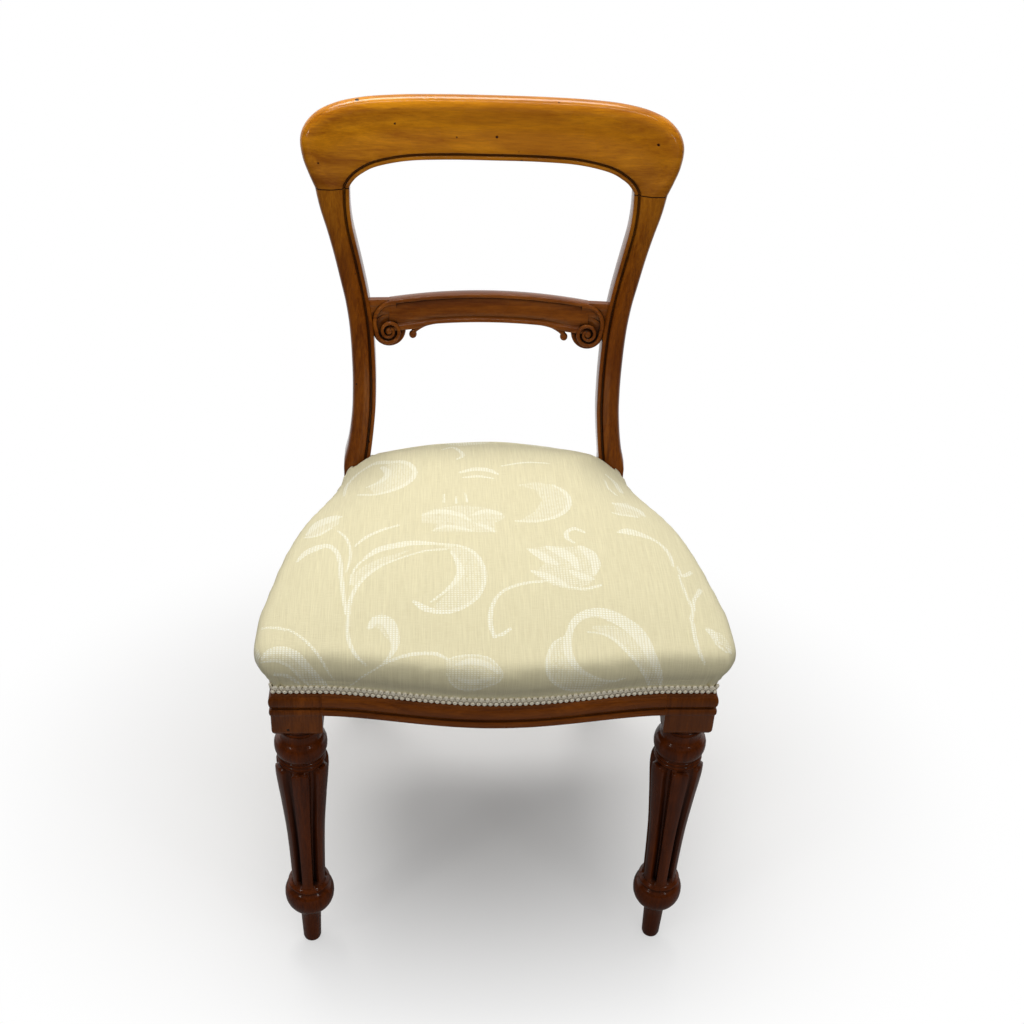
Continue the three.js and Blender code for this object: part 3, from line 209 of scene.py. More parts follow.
floor_shader = add_node(floor_tree, "ShaderNodeBsdfPrincipled", {
    "Base Color": add_node(floor_tree, "ShaderNodeCombineColor", {
        0: floor_tone, 1: floor_tone, 2: floor_tone}).outputs[0],
    "Roughness": 0.9, "Specular IOR Level": 0.1})
floor_white = add_node(floor_tree, "ShaderNodeEmission", {"Color": (1, 1, 1, 1)})
floor_share = add_math(floor_tree, "MULTIPLY", floor_far, floor_seen)
floor_mix = add_node(floor_tree, "ShaderNodeMixShader", {
    0: floor_share, 1: floor_shader.outputs[0], 2: floor_white.outputs[0]})
add_node(floor_tree, "ShaderNodeOutputMaterial", {"Surface": floor_mix.outputs[0]})
bm = bmesh.new()
bmesh.ops.create_grid(bm, x_segments=1, y_segments=1, size=floor_half)
floor = new_piece("floor", bm, floor_material)


# Back posts: each is sawn and shaped from one piece of mahogany with its back leg, and French
# polished. A bead and a dark quirk run up the inner edge, beside a softly rounded face.
floor_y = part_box("front_leg_left")[1][1] - 0.0265
chair_height = 0.873
crown_height = 0.496
rail_top = crown_height - 0.053
rail_bottom = rail_top - 0.055
back_height = chair_height - rail_top
joint_height = chair_height - 0.096
seat_depth = 0.357
ear_half_width = 0.217
joint_gap = 0.0002


def soft_step(low, high, place):
    """A soft step from 0 to 1 between two places."""
    share = min(max((place - low) / (high - low), 0), 1)
    return share * share * (3 - 2 * share)


def blend(first, second, share):
    """A value on the way from the first to the second."""
    return first + (second - first) * share


def curve_at(rows, place, column=1):
    """Reads a smooth curve, which never overshoots its points, from rows of place and value."""
    last = len(rows) - 1
    kept = min(max(place, rows[0][0]), rows[last][0])

    def rise(i):
        return (rows[i + 1][column] - rows[i][column]) / (rows[i + 1][0] - rows[i][0])

    def slope(i):
        if i in (0, last):
            return rise(min(i, last - 1))
        before, after = rise(i - 1), rise(i)
        return 2 * before * after / (before + after) if before * after > 0 else 0

    k = 0
    while k < last - 1 and kept > rows[k + 1][0]:
        k += 1
    span = rows[k + 1][0] - rows[k][0]
    t = (kept - rows[k][0]) / span
    value = blend(rows[k][column], rows[k + 1][column], t * t * (3 - 2 * t))
    return value + span * t * (1 - t) * ((1 - t) * slope(k) - t * slope(k + 1))


leg_rake = [(0, 1), (0.24, 0.66), (0.5, 0.32), (0.76, 0.09), (1, 0)]
back_rake = [(0, 0), (0.12, 0.05), (0.26, 0.12), (0.4, 0.23), (0.58, 0.42), (0.78, 0.67),
             (0.91, 0.87), (1, 1)]
rake_rows = ([(rail_bottom * z, 0.058 * y) for z, y in leg_rake]
             + [(rail_top + back_height * z, 0.076 * y) for z, y in back_rake])


def back_face(x, z):
    """How far back the front face of the back lies at a place in the front view."""
    bow = 0.018 * soft_step(rail_top, joint_height, z)
    return seat_depth + curve_at(rake_rows, z) + bow * (1 - (x / ear_half_width) ** 2)


def arc(centre, radius, start, end, count):
    """Points on an arc in a plane, with its angles in degrees."""
    turns = [math.radians(blend(start, end, i / (count - 1))) for i in range(count)]
    return [(centre[0] + radius * math.cos(t), centre[1] + radius * math.sin(t)) for t in turns]


def moulded_section(width, depth, relief, edge, dish, back_slope):
    """The post's section, as distances from its inner edge and behind its face, all round."""
    bead = 0.0025
    drop = 0.0014 * relief
    quirk = 0.0046 * relief
    face = 0.0074
    soft = 0.003
    back = 0.0035
    points = [(0, depth - back), (0, depth / 2), (0, drop + bead)]
    points += arc((bead, drop + bead), bead, 180, 330, 9)[1:]
    points += [(0.0051, blend(drop + bead, quirk, 0.8)), (0.0056, quirk), (0.0062, quirk),
               (0.0068, quirk * 0.82)]
    points += arc((face + soft * 0.8, soft * 0.8), soft * 0.8, 180, 270, 5)
    start, end = face + soft, width - edge
    points += [(blend(start, end, i / 8), dish * math.sin(math.pi * i / 8) ** 1.5)
               for i in range(1, 8)]
    points += arc((width - edge, edge), edge, 270, 360, 8)
    points += [(width - back_slope * 0.5, (edge + depth - back) / 2)]
    points += arc((width - back_slope - back, depth - back), back, 0, 90, 4)
    points += [(width * 0.66, depth), (width * 0.33, depth)]
    points += arc((back, depth - back), back, 90, 180, 4)[:-1]
    return points


def form_sheet(bm, around, along, place, size=(1.0, 1.0), close=True, ends=True):
    """A grid whose points are put in place by their two shares, joined round into a skin,
    with its ends closed. The map of the skin is in metres."""
    if not bm.loops.layers.uv:
        bm.loops.layers.uv.new("map")
    made = bmesh.ops.create_grid(bm, x_segments=around, y_segments=along, size=0.5,
                                 calc_uvs=True)["verts"]
    layer = bm.loops.layers.uv.active
    for face in {face for vert in made for face in vert.link_faces}:
        for loop in face.loops:
            loop[layer].uv = ((loop.vert.co.x + 0.5) * size[0],
                              (loop.vert.co.y + 0.5) * size[1])
    for vert in made:
        vert.co = place(vert.co.x + 0.5, vert.co.y + 0.5)
    if close:
        bmesh.ops.remove_doubles(bm, verts=made, dist=1e-6)
        made = [vert for vert in made if vert.is_valid]
    edges = {edge for vert in made for edge in vert.link_edges if edge.is_boundary}
    if ends:
        bmesh.ops.holes_fill(bm, edges=list(edges), sides=0)
    bmesh.ops.recalc_face_normals(bm, faces=list({f for v in made for f in v.link_faces}))
    return made


def swept(bm, sections, size):
    """A skin through sections that have the same number of points."""
    count = len(sections[0])
    last = len(sections) - 1

    def place(u, v):
        return Vector(sections[round(v * last)][round(u * count) % count])

    return form_sheet(bm, count, last, place, size)


def moulded_ring(inner, outer, depth, relief, edge, dish, back_slope):
    """The section between a point on the opening's edge and one on the outer edge."""
    width = math.hypot(outer[0] - inner[0], outer[1] - inner[1])
    ring = []
    for across, behind in moulded_section(width, depth, relief, edge, dish, back_slope):
        x = blend(inner[0], outer[0], across / width)
        z = blend(inner[1], outer[1], across / width)
        ring.append((x, floor_y + back_face(x, z) + behind, z))
    return ring


joint_half_width = 0.2015
joint_width = 0.039
waist_height = rail_top + back_height * 0.26
waist_half_width = 0.162
waist_width = 0.028
seat_post_half_width = 0.1745
seat_post_width = 0.032
flare_shares = [(1, 1, 1), (0.79, 0.6, 0.4), (0.52, 0.24, 0.12), (0.27, 0.05, 0.04), (0, 0, 0)]
swell_shares = [(0.14, 0.02, 0), (0.28, 0.07, 0), (0.41, 0.17, 0), (0.53, 0.32, 0.08),
                (0.66, 0.49, 0.1), (0.78, 0.67, 0.18), (0.91, 0.89, 0.62), (1, 1, 1)]
post_rows = [(0, 0.172, 0.024), (rail_bottom, seat_post_half_width, seat_post_width)]
post_rows += [(blend(waist_height, rail_top, down),
               blend(waist_half_width, seat_post_half_width, out),
               blend(waist_width, seat_post_width, wide)) for down, out, wide in flare_shares]
post_rows += [(blend(waist_height, joint_height, rise),
               blend(waist_half_width, joint_half_width, out),
               blend(waist_width, joint_width, wide)) for rise, out, wide in swell_shares]
post_depth_rows = [(0, 0.026), (rail_bottom, 0.034), (rail_top, 0.034), (waist_height, 0.027),
                   (joint_height, 0.027)]


def post_ring(height):
    """The right post's section at one height."""
    outer = curve_at(post_rows, height)
    width = curve_at(post_rows, height, 2)
    relief = soft_step(rail_top - 0.004, rail_top + 0.006, height)
    return moulded_ring((outer - width, height), (outer, height),
                        curve_at(post_depth_rows, height), relief,
                        blend(0.003, 0.0105, relief), -0.0014 * relief, 0)


def new_group(name, takes, gives):
    """A shader node group with named inputs and outputs."""
    group = bpy.data.node_groups.new(name, "ShaderNodeTree")
    for label, kind, value in takes:
        socket = group.interface.new_socket(label, in_out="INPUT", socket_type=kind)
        if value is not None:
            socket.default_value = value
    for label, kind in gives:
        group.interface.new_socket(label, in_out="OUTPUT", socket_type=kind)
    return group, group.nodes.new("NodeGroupInput"), group.nodes.new("NodeGroupOutput")


def use_group(tree, group, inputs):
    """Places a node group in a material."""
    made = tree.nodes.new("ShaderNodeGroup")
    made.node_tree = group
    for name, value in inputs.items():
        if isinstance(value, bpy.types.NodeSocket):
            tree.links.new(value, made.inputs[name])
        else:
            made.inputs[name].default_value = value
    return made


# The grain of mahogany: broad bands, fine streaks and short dark pores along the piece
grain_group, grain_in, grain_out = new_group("mahogany_grain", [
    ("Vector", "NodeSocketVector", None), ("Pale", "NodeSocketColor", (0.4, 0.2, 0.05, 1)),
    ("Dark", "NodeSocketColor", (0.1, 0.03, 0.01, 1))],
    [("Color", "NodeSocketColor"), ("Height", "NodeSocketFloat")])
grain_place = grain_in.outputs["Vector"]
grain_band = add_noise(grain_group, grain_place, 1.0, 5.0, Roughness=0.6, Distortion=0.6)
grain_streak = add_noise(grain_group, grain_place, 6.0, 4.0, Roughness=0.65)
grain_pore = add_noise(grain_group, grain_place, 17.0, 2.0, Roughness=0.5)
grain_mix = add_range(grain_group, add_math(
    grain_group, "ADD", add_math(grain_group, "MULTIPLY", grain_band, 0.62),
    add_math(grain_group, "MULTIPLY", grain_streak, 0.38)), 0.36, 0.66)
grain_pores = add_range(grain_group, grain_pore, 0.32, 0.42, 0.55, 1.0)
grain_tone = add_mix(grain_group, grain_mix, grain_in.outputs["Dark"],
                     grain_in.outputs["Pale"])
grain_colour = add_mix(grain_group, grain_pores, add_mix(
    grain_group, 0.7, grain_tone, grain_in.outputs["Dark"]), grain_tone)
grain_group.links.new(grain_colour, grain_out.inputs["Color"])
grain_group.links.new(grain_pores, grain_out.inputs["Height"])

# Old polish and dust in the hollows, and painted shade: an ambient-occlusion mask darkens
# hollows, corners and the undersides of parts, where shade falls
grime_and_shade_group, grime_and_shade_in, grime_and_shade_out = new_group("hollow_grime_and_painted_shade", [
    ("Reach", "NodeSocketFloat", 0.008), ("Amount", "NodeSocketFloat", 1.0)],
    [("Mask", "NodeSocketFloat")])
grime_and_shade_occlusion = add_node(grime_and_shade_group, "ShaderNodeAmbientOcclusion", {
    "Distance": grime_and_shade_in.outputs["Reach"]}, samples=8, only_local=True)
grime_and_shade_mask = add_math(grime_and_shade_group, "MULTIPLY", add_range(
    grime_and_shade_group, grime_and_shade_occlusion.outputs["AO"], 0.86, 0.35, smooth=True),
    grime_and_shade_in.outputs["Amount"], clamp=True)
grime_and_shade_group.links.new(grime_and_shade_mask, grime_and_shade_out.inputs["Mask"])

# Small knocks and worm marks, dark and sunk, scattered thinly over the wood
marks_group, marks_in, marks_out = new_group("small_marks", [
    ("Vector", "NodeSocketVector", None), ("Scale", "NodeSocketFloat", 70.0),
    ("Share", "NodeSocketFloat", 0.06)], [("Mask", "NodeSocketFloat")])
marks_cells = add_node(marks_group, "ShaderNodeTexVoronoi", {
    "Vector": marks_in.outputs["Vector"], "Scale": marks_in.outputs["Scale"],
    "Randomness": 1.0})
marks_pick = add_node(marks_group, "ShaderNodeSeparateColor", {
    0: marks_cells.outputs["Color"]})
marks_here = add_math(marks_group, "LESS_THAN", marks_pick.outputs[0],
                      marks_in.outputs["Share"])
marks_rough = add_noise(marks_group, marks_in.outputs["Vector"], 700.0, 1.0)
marks_distance = add_math(marks_group, "ADD", marks_cells.outputs["Distance"], add_math(
    marks_group, "MULTIPLY", marks_rough, 0.12))
marks_size = add_range(marks_group, marks_pick.outputs[1], 0, 1, 0.1, 0.24)
marks_dot = add_range(marks_group, add_math(
    marks_group, "SUBTRACT", marks_distance, marks_size), -0.03, 0.02, 1.0, 0.0)
marks_group.links.new(add_math(marks_group, "MULTIPLY", marks_dot, marks_here),
                      marks_out.inputs["Mask"])


def polished_wood(name, grain_scale, pale, dark, hollow, marks=0.03, grime_and_shade_amount=1.0, coat=0.4,
                  reach=0.007, from_joint=None):
    """French-polished mahogany. The grain runs where grain_scale is least. Posts and crest
    share one colour where they meet, and reach their own at from_joint above it."""
    material, tree = new_material(name)
    place = add_node(tree, "ShaderNodeTexCoord").outputs["Object"]
    turned = add_node(tree, "ShaderNodeMapping", {"Vector": place, "Scale": grain_scale})
    pale, dark = (*pale, 1), (*dark, 1)
    if from_joint:
        height = add_node(tree, "ShaderNodeSeparateXYZ", {0: place}).outputs["Z"]
        own = add_range(tree, height, joint_height, joint_height + from_joint, smooth=True)
        pale = add_mix(tree, own, (0.48, 0.17, 0.008, 1), pale)
        dark = add_mix(tree, own, (0.21, 0.058, 0.003, 1), dark)
    grain = use_group(tree, grain_group, {
        "Vector": turned.outputs[0], "Pale": pale, "Dark": dark})
    # grime and painted shade: hollows, corners and the undersides of parts are darkened towards
    # the hollow colour by an ambient-occlusion mask
    shade_and_grime = use_group(tree, grime_and_shade_group, {"Reach": reach, "Amount": grime_and_shade_amount})
    dots = use_group(tree, marks_group, {"Vector": place, "Share": marks})
    cloud = add_noise(tree, place, 11.0, 3.0)
    cloudy = add_mix(tree, add_range(tree, cloud, 0.35, 0.7, 0.0, 0.45),
                     grain.outputs["Color"], dark)
    colour = add_mix(tree, shade_and_grime.outputs["Mask"], cloudy, (*hollow, 1))
    colour = add_mix(tree, dots.outputs["Mask"], colour, (*hollow, 1))
    if from_joint:
        seam = add_math(tree, "ABSOLUTE", add_math(tree, "SUBTRACT", height, joint_height))
        colour = add_mix(tree, add_range(tree, seam, 0.0004, 0.0008, 1.0, 0.0), colour,
                         (*hollow, 1))
    worn = add_range(tree, cloud, 0.3, 0.75, 0.2, 0.36)
    rough = add_math(tree, "ADD", worn, add_math(
        tree, "MULTIPLY", shade_and_grime.outputs["Mask"], 0.25))
    relief = add_math(tree, "SUBTRACT", add_math(
        tree, "MULTIPLY", grain.outputs["Height"], 0.12), dots.outputs["Mask"])
    bump = add_node(tree, "ShaderNodeBump", {"Strength": 0.35, "Distance": 0.0006,
                                             "Height": relief})
    add_surface(tree, {
        "Base Color": colour, "Roughness": rough, "Normal": bump.outputs[0],
        "Specular IOR Level": 0.1, "Coat Weight": coat, "Coat Roughness": 0.08,
        "Coat IOR": 1.42})
    return material


post_wood = polished_wood("post_mahogany", (95, 95, 9), (0.32, 0.088, 0.004),
                          (0.12, 0.026, 0.001), (0.012, 0.003, 0.001), 0.02,
                          from_joint=-0.12)
post_steps = 92
for side, direction in [("left", -1), ("right", 1)]:
    rings = []
    for i in range(post_steps + 1):
        ring = post_ring((joint_height - joint_gap) * i / post_steps)
        rings.append([(x * direction, y, z) for x, y, z in ring])
    bm = bmesh.new()
    swept(bm, rings, (0.12, chair_height))
    post = new_piece(f"fine_post_{side}", bm, post_wood, 50)
    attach(post, "root")
    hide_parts(f"back_post_{side}")


# Crest rail: one piece of lighter, worn mahogany, sawn with rounded ears and bowed to the
# back, its face slightly hollowed. The posts' bead and quirk run on along the opening.
def smooth_path(points, count):
    """Points along a smooth line that passes through the given ones, evenly between each."""
    path = []
    last = len(points) - 1
    for step in range(count + 1):
        place = last * step / count
        i = min(int(place), last - 1)
        p1, p2 = points[i], points[i + 1]
        p0 = points[i - 1] if i > 0 else p1 * 2 - p2
        p3 = points[i + 2] if i + 2 <= last else p2 * 2 - p1
        d0, d1, d2 = [max((b - a).length, 1e-6) ** 0.5 for a, b in
                      ((p0, p1), (p1, p2), (p2, p3))]
        t1 = ((p1 - p0) / d0 - (p2 - p0) / (d0 + d1) + (p2 - p1) / d1) * d1
        t2 = ((p2 - p1) / d1 - (p3 - p1) / (d1 + d2) + (p3 - p2) / d2) * d1
        t = place - i
        path.append(p1 + t1 * t + (p2 * 3 - p1 * 3 - t1 * 2 - t2) * t ** 2
                    + (p1 * 2 - p2 * 2 + t1 + t2) * t ** 3)
    return path


ear_height = chair_height - 0.044
opening_top = chair_height - 0.0665
opening_half = joint_half_width - joint_width
crest_top_shares = [(0, 1, 0, 1), (0.28, 1, 0.34, 1), (0.51, 0.985, 0.6, 0.95),
                    (0.69, 0.93, 0.77, 0.81), (0.82, 0.81, 0.85, 0.69),
                    (0.915, 0.61, 0.905, 0.54), (0.975, 0.32, 0.95, 0.38), (1, 0, 0.98, 0.21)]
crest_ear_shares = [(0.86, 0.63, 0.995, 0.09), (0.45, 0.3, 1, 0.04), (0, 0, 1, 0)]
crest_outer = [Vector((ear_half_width * out, blend(ear_height, chair_height, rise)))
               for out, rise, _, _ in crest_top_shares]
crest_outer += [Vector((blend(joint_half_width, ear_half_width, out),
                        blend(joint_height, ear_height, rise)))
                for out, rise, _, _ in crest_ear_shares]
crest_inner = [Vector((opening_half * across, blend(joint_height, opening_top, rise)))
               for _, _, across, rise in crest_top_shares + crest_ear_shares]
crest_steps = 90
crest_half = []
for outer, inner in zip(smooth_path(crest_outer, crest_steps),
                        smooth_path(crest_inner, crest_steps)):
    down = 1 - soft_step(joint_height, ear_height, outer.y)
    crest_half.append(moulded_ring(inner, outer, 0.027, 1, blend(0.0125, 0.0105, down),
                                   blend(0.0024, -0.0014, down), 0.005 * (1 - down)))
crest_rings = [[(-x, y, z) for x, y, z in ring] for ring in reversed(crest_half[1:])]
crest_rings += crest_half
crest_wood = polished_wood("crest_mahogany", (8, 95, 80), (0.80, 0.312, 0.007),
                           (0.40, 0.122, 0.003), (0.03, 0.008, 0.002), 0.3, coat=0.5,
                           from_joint=0.06)
bm = bmesh.new()
swept(bm, crest_rings, (0.15, 0.75))
crest = new_piece("fine_crest", bm, crest_wood, 50)
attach(crest, "root")
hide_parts("crest_rail")


# Cross rail: an arched rail with a bead along each edge and a sunk field, bent to the bow of
# the back and tenoned into the posts. It is carved at each end with a volute, whose bead is
# the rail's own upper one, a small hollowed leaf above it and a pearl on a stem below.
cross_middle = rail_top + back_height * 0.46
cross_half_height = 0.0165
volute_x = 0.118
volute_height = cross_middle - 0.027
volute_radius = 0.0195
volute_depth = 0.016


def cross_line(x):
    """The middle line of the rail's arch."""
    return cross_middle - 0.008 * (x / volute_x) ** 2


def cross_droop(x):
    """How far the lower edge dips on its way to the pearls."""
    return 0.0042 * soft_step(0.06, 0.092, abs(x))


def bend_to_back(bm):
    """Moves what is built flat, its front at zero, to the rake and bow of the back."""
    for vert in bm.verts:
        vert.co.y += floor_y + back_face(vert.co.x, vert.co.z) + 0.004


def cross_section(depth, half_height):
    """The rail's section as depth and height from its middle line, from its back edge round."""
    bead = 0.0024
    low = [(depth, -half_height + 0.002), (depth * 0.5, -half_height)]
    low += [(bead * (1 + math.sin(math.radians(t))), -half_height + bead
             - bead * math.cos(math.radians(t))) for t in (10, -30, -60, -90, -120, -155, -180)]
    low += [(0.0042, -half_height + 0.0056), (0.0036, -half_height + 0.0075)]
    field = [(0.0026, -half_height * 0.28)]
    high = [(y, -z) for y, z in reversed(low)]
    return low + field + [(y, -z) for y, z in reversed(field)] + high


def bead_tube(bm, path, radii, sides):
    """A round bead along a path, its radius read from one value for each point."""
    last = len(path) - 1
    rings = []
    for i, point in enumerate(path):
        ahead = (path[min(i + 1, last)] - path[max(i - 1, 0)]).normalized()
        first = Vector((0, 1, 0)).cross(ahead).normalized()
        second = ahead.cross(first)
        rings.append([point + first * radii[i] * math.cos(2 * math.pi * k / sides)
                      + second * radii[i] * math.sin(2 * math.pi * k / sides)
                      for k in range(sides)])
    swept(bm, rings, (0.02, 0.1))


def round_body(bm, centre, rows, sides, axis=(0, -1, 0)):
    """A turned shape about an axis through a centre, from rows of distance and radius."""
    axis = Vector(axis)
    first = Vector((1, 0, 0)) if abs(axis.x) < 0.5 else Vector((0, 1, 0))
    second = axis.cross(first)
    rings = [[Vector(centre) + axis * distance + first * radius * math.cos(t)
              + second * radius * math.sin(t)
              for t in (2 * math.pi * k / sides for k in range(sides))]
             for distance, radius in rows]
    swept(bm, rings, (0.05, 0.02))


bm = bmesh.new()
rail_profile = cross_section(0.0165, cross_half_height)
rail_steps = 60
rail_rings = []
for i in range(rail_steps + 1):
    x = blend(-volute_x, volute_x, i / rail_steps)
    sunk = 0.0009 * soft_step(0.088, volute_x, abs(x))
    rail_rings.append([(x, y + sunk * (abs(z) < cross_half_height - 0.007),
                        cross_line(x) + z - cross_droop(x) * (z < 0)
                        * (z / cross_half_height) ** 2) for y, z in rail_profile])
swept(bm, rail_rings, (0.1, 0.24))
volute_turns = 1.95
volute_steps = 70
volute_start = 0.42
pearl_along = 0.09
pearl_radius = 0.0046
pearl_drop = 0.0068
stem_run = 0.026
leaf_front = 0.0035
leaf_back = 0.011
leaf_steps = 16
leaf_face_steps = 10
for direction in (-1, 1):
    path = []
    radii = []
    rail_bead = cross_line(volute_x) + cross_half_height - 0.0024
    for i in range(volute_steps + 1):
        turn = volute_turns * i / volute_steps
        angle = math.pi * (volute_start + 2 * turn)
        radius = blend(volute_radius - 0.0018, 0.0042, (i / volute_steps) ** 0.85)
        lead = (rail_bead - volute_height - radius) * (1 - soft_step(0, 0.3, turn))
        path.append(Vector((direction * (volute_x - (radius + lead) * math.cos(angle)),
                            0.0022 - 0.0022 * soft_step(0, 0.4, turn),
                            volute_height + (radius + lead) * math.sin(angle))))
        radii.append(blend(0.0026, 0.0017, i / volute_steps))
    bead_tube(bm, path, radii, 10)
    centre = (direction * volute_x, 0.0, volute_height)
    round_body(bm, centre, [
        (-volute_depth, volute_radius - 0.0025), (-volute_depth + 0.0025, volute_radius),
        (-0.0055, volute_radius), (-0.0042, volute_radius - 0.0006),
        (-0.0046, volute_radius - 0.004), (-0.0056, 0.012), (-0.0058, 0.009),
        (-0.005, 0.006)], 48)
    round_body(bm, centre, [(-0.008, 0.0052), (-0.002, 0.005), (0.0004, 0.0038),
                            (0.0016, 0.0018)], 20)
    pearl_x = direction * pearl_along
    edge = cross_line(pearl_x) - cross_half_height - cross_droop(pearl_x)
    bmesh.ops.create_uvsphere(bm, u_segments=20, v_segments=12, radius=pearl_radius,
                              matrix=Matrix.Translation((pearl_x, pearl_radius,
                                                         edge - pearl_drop)))
    stem = []
    for back, rise in [(0, 0.2), (0.05, 0.42), (0.12, 0.58), (0.22, 0.72), (0.36, 0.85),
                       (0.55, 0.94), (0.78, 0.99), (1, 1)]:
        x = pearl_x - direction * stem_run * back
        lower_edge = cross_line(x) - cross_half_height - cross_droop(x) + 0.0026
        stem.append(Vector((x, 0.0042, blend(edge - pearl_drop, lower_edge, rise))))
    stem = smooth_path(stem, 24)
    bead_tube(bm, stem, [blend(0.0031, 0.0024, i / 24) for i in range(25)], 10)

    # the leaf: a small block with a hollowed front, between the volute and the post
    leaf_top = cross_line(volute_x) + cross_half_height
    leaf_low = volute_height - 0.004
    leaf_in = volute_x - 0.008

    def leaf_place(u, v, direction=direction, leaf_top=leaf_top, leaf_low=leaf_low,
                   leaf_in=leaf_in):
        z = blend(leaf_low, leaf_top, v)
        outer = curve_at(post_rows, z) - curve_at(post_rows, z, 2) + 0.0015
        corners = [(leaf_in, leaf_front), (outer, leaf_front), (outer, leaf_back),
                   (leaf_in, leaf_back)]
        share = u * leaf_steps
        if share <= leaf_face_steps:
            across = share / leaf_face_steps
            hollow = 0.0024 * math.sin(math.pi * across) * math.sin(math.pi * min(v * 1.5, 1))
            rim = 0.0012 * math.exp(-((v - 0.9) / 0.08) ** 2)
            x, y = blend(leaf_in, outer, across), leaf_front + hollow - rim
        else:
            k = 1 + (share - leaf_face_steps) / 2
            first, second = corners[min(int(k), 3)], corners[(min(int(k), 3) + 1) % 4]
            x = blend(first[0], second[0], k - min(int(k), 3))
            y = blend(first[1], second[1], k - min(int(k), 3))
        return Vector((direction * x, y, z))

    form_sheet(bm, leaf_steps, leaf_steps, leaf_place, (0.04, 0.03))
bmesh.ops.recalc_face_normals(bm, faces=bm.faces)
bend_to_back(bm)
cross_wood = polished_wood("cross_rail_mahogany", (9, 95, 80), (0.34, 0.10, 0.010),
                           (0.13, 0.03, 0.003), (0.008, 0.003, 0.001), 0.015, grime_and_shade_amount=1.0,
                           reach=0.009)
cross = new_piece("fine_cross_rail", bm, cross_wood, 45)
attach(cross, "root")
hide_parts("cross_rail")


# Seat rails: mahogany rails with a moulding along the lower edge, a hollow, a bold round, a
# dark groove and a small lip. The front one is sawn to a serpentine and tenoned to the legs.
rail_wood = polished_wood("rail_mahogany", (9, 80, 95), (0.29, 0.076, 0.005),
                          (0.11, 0.025, 0.002), (0.010, 0.003, 0.001), 0.03)
side_wood = polished_wood("side_rail_mahogany", (80, 9, 95), (0.22, 0.055, 0.006),
                          (0.085, 0.018, 0.002), (0.010, 0.003, 0.001), 0.03)
leg_half = 0.205
block_half = 0.0265
plain_proud = 0.003
hem_front = -block_half + plain_proud
hem_side = leg_half + block_half - plain_proud
block_inner = leg_half - block_half
show_top = rail_bottom + 0.025
lip_low = rail_bottom - 0.0036
rebate = 0.003
rail_chamfer = 0.012
rail_thickness = 0.024
moulding_proud = 0.0044
moulding_rows = [(0.3, 1), (0.3, 0.9), (0.34, 0.875), (0.5, 0.865), (0.68, 0.835),
                 (0.84, 0.775), (0.96, 0.7), (1, 0.62), (0.97, 0.53), (0.88, 0.45),
                 (0.72, 0.39), (0.5, 0.355), (0.36, 0.34), (0.33, 0.315), (0.35, 0.29),
                 (0.52, 0.28), (0.78, 0.265), (0.92, 0.225), (0.97, 0.16), (0.95, 0.09),
                 (0.88, 0.03), (0.78, 0)]
rail_section = [(-rebate - rail_chamfer, rail_top), (-rebate, rail_top - rail_chamfer),
                (-rebate, show_top)]
rail_section += [(moulding_proud * out, blend(lip_low, show_top, rise))
                 for out, rise in moulding_rows]


def front_sweep(x):
    """How far the front rail's serpentine lies forward of its ends."""
    across = min(abs(x) / block_inner, 1)
    return 0.0188 * ((1 + math.cos(math.pi * across)) / 2) ** 0.8


hem_rear = seat_post_half_width - moulding_proud


def side_hem(y):
    """The hem line along the side of the seat, from the leg block back to the post."""
    return blend(hem_side, hem_rear, max(y - block_half, 0) / (seat_depth - block_half))


rings = []
for i in range(61):
    x = blend(-block_inner + joint_gap, block_inner - joint_gap, i / 60)
    hem = hem_front - front_sweep(x)
    ring = [(x, floor_y + hem - proud, z) for proud, z in rail_section]
    ring += [(x, floor_y + hem_front + rail_thickness, z) for z in (lip_low, rail_top)]
    rings.append(ring)
bm = bmesh.new()
swept(bm, rings, (0.2, 0.36))
front_rail = new_piece("fine_front_rail", bm, rail_wood, 38)
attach(front_rail, "root")
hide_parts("front_rail")

for side, direction in [("left", -1), ("right", 1)]:
    rings = []
    for i in range(13):
        y = blend(block_half + joint_gap, seat_depth - joint_gap, i / 12)
        hem = side_hem(y)
        ring = [(direction * (hem + proud), floor_y + y, z) for proud, z in rail_section]
        ring += [(direction * (hem - rail_thickness), floor_y + y, z)
                 for z in (lip_low, rail_top)]
        rings.append(ring)
    bm = bmesh.new()
    swept(bm, rings, (0.2, 0.34))
    side_rail = new_piece(f"fine_side_rail_{side}", bm, side_wood, 38)
    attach(side_rail, "root")
    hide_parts(f"side_rail_{side}")


# Front legs: a square block that carries the rails' moulding round its corner, then turned
# rings, broad reeds with rounded tops, a collar and a peg foot, all from one piece of wood.
# The turning is coloured darker than the block, partly as old polish and partly as painted
# shade under the seat; its wider occlusion reach paints the shade under the block.
leg_wood_dark_and_shaded = polished_wood("leg_mahogany_dark_and_shaded", (95, 95, 8), (0.15, 0.028, 0.001),
                         (0.05, 0.009, 0.001), (0.004, 0.0015, 0.001), 0.02, reach=0.02)
block_wood = polished_wood("block_mahogany", (95, 95, 8), (0.24, 0.06, 0.004),
                           (0.09, 0.02, 0.001), (0.01, 0.003, 0.001), 0.02)
block_bottom = rail_bottom - 0.0335
block_rows = list(rail_section) + [(plain_proud, lip_low - 0.001)]
block_rows += [(plain_proud - inward, block_bottom + above) for above, inward in [
    (0.0075, 0), (0.0048, 0.0006), (0.0026, 0.0019), (0.001, 0.0039), (0, 0.0068)]]

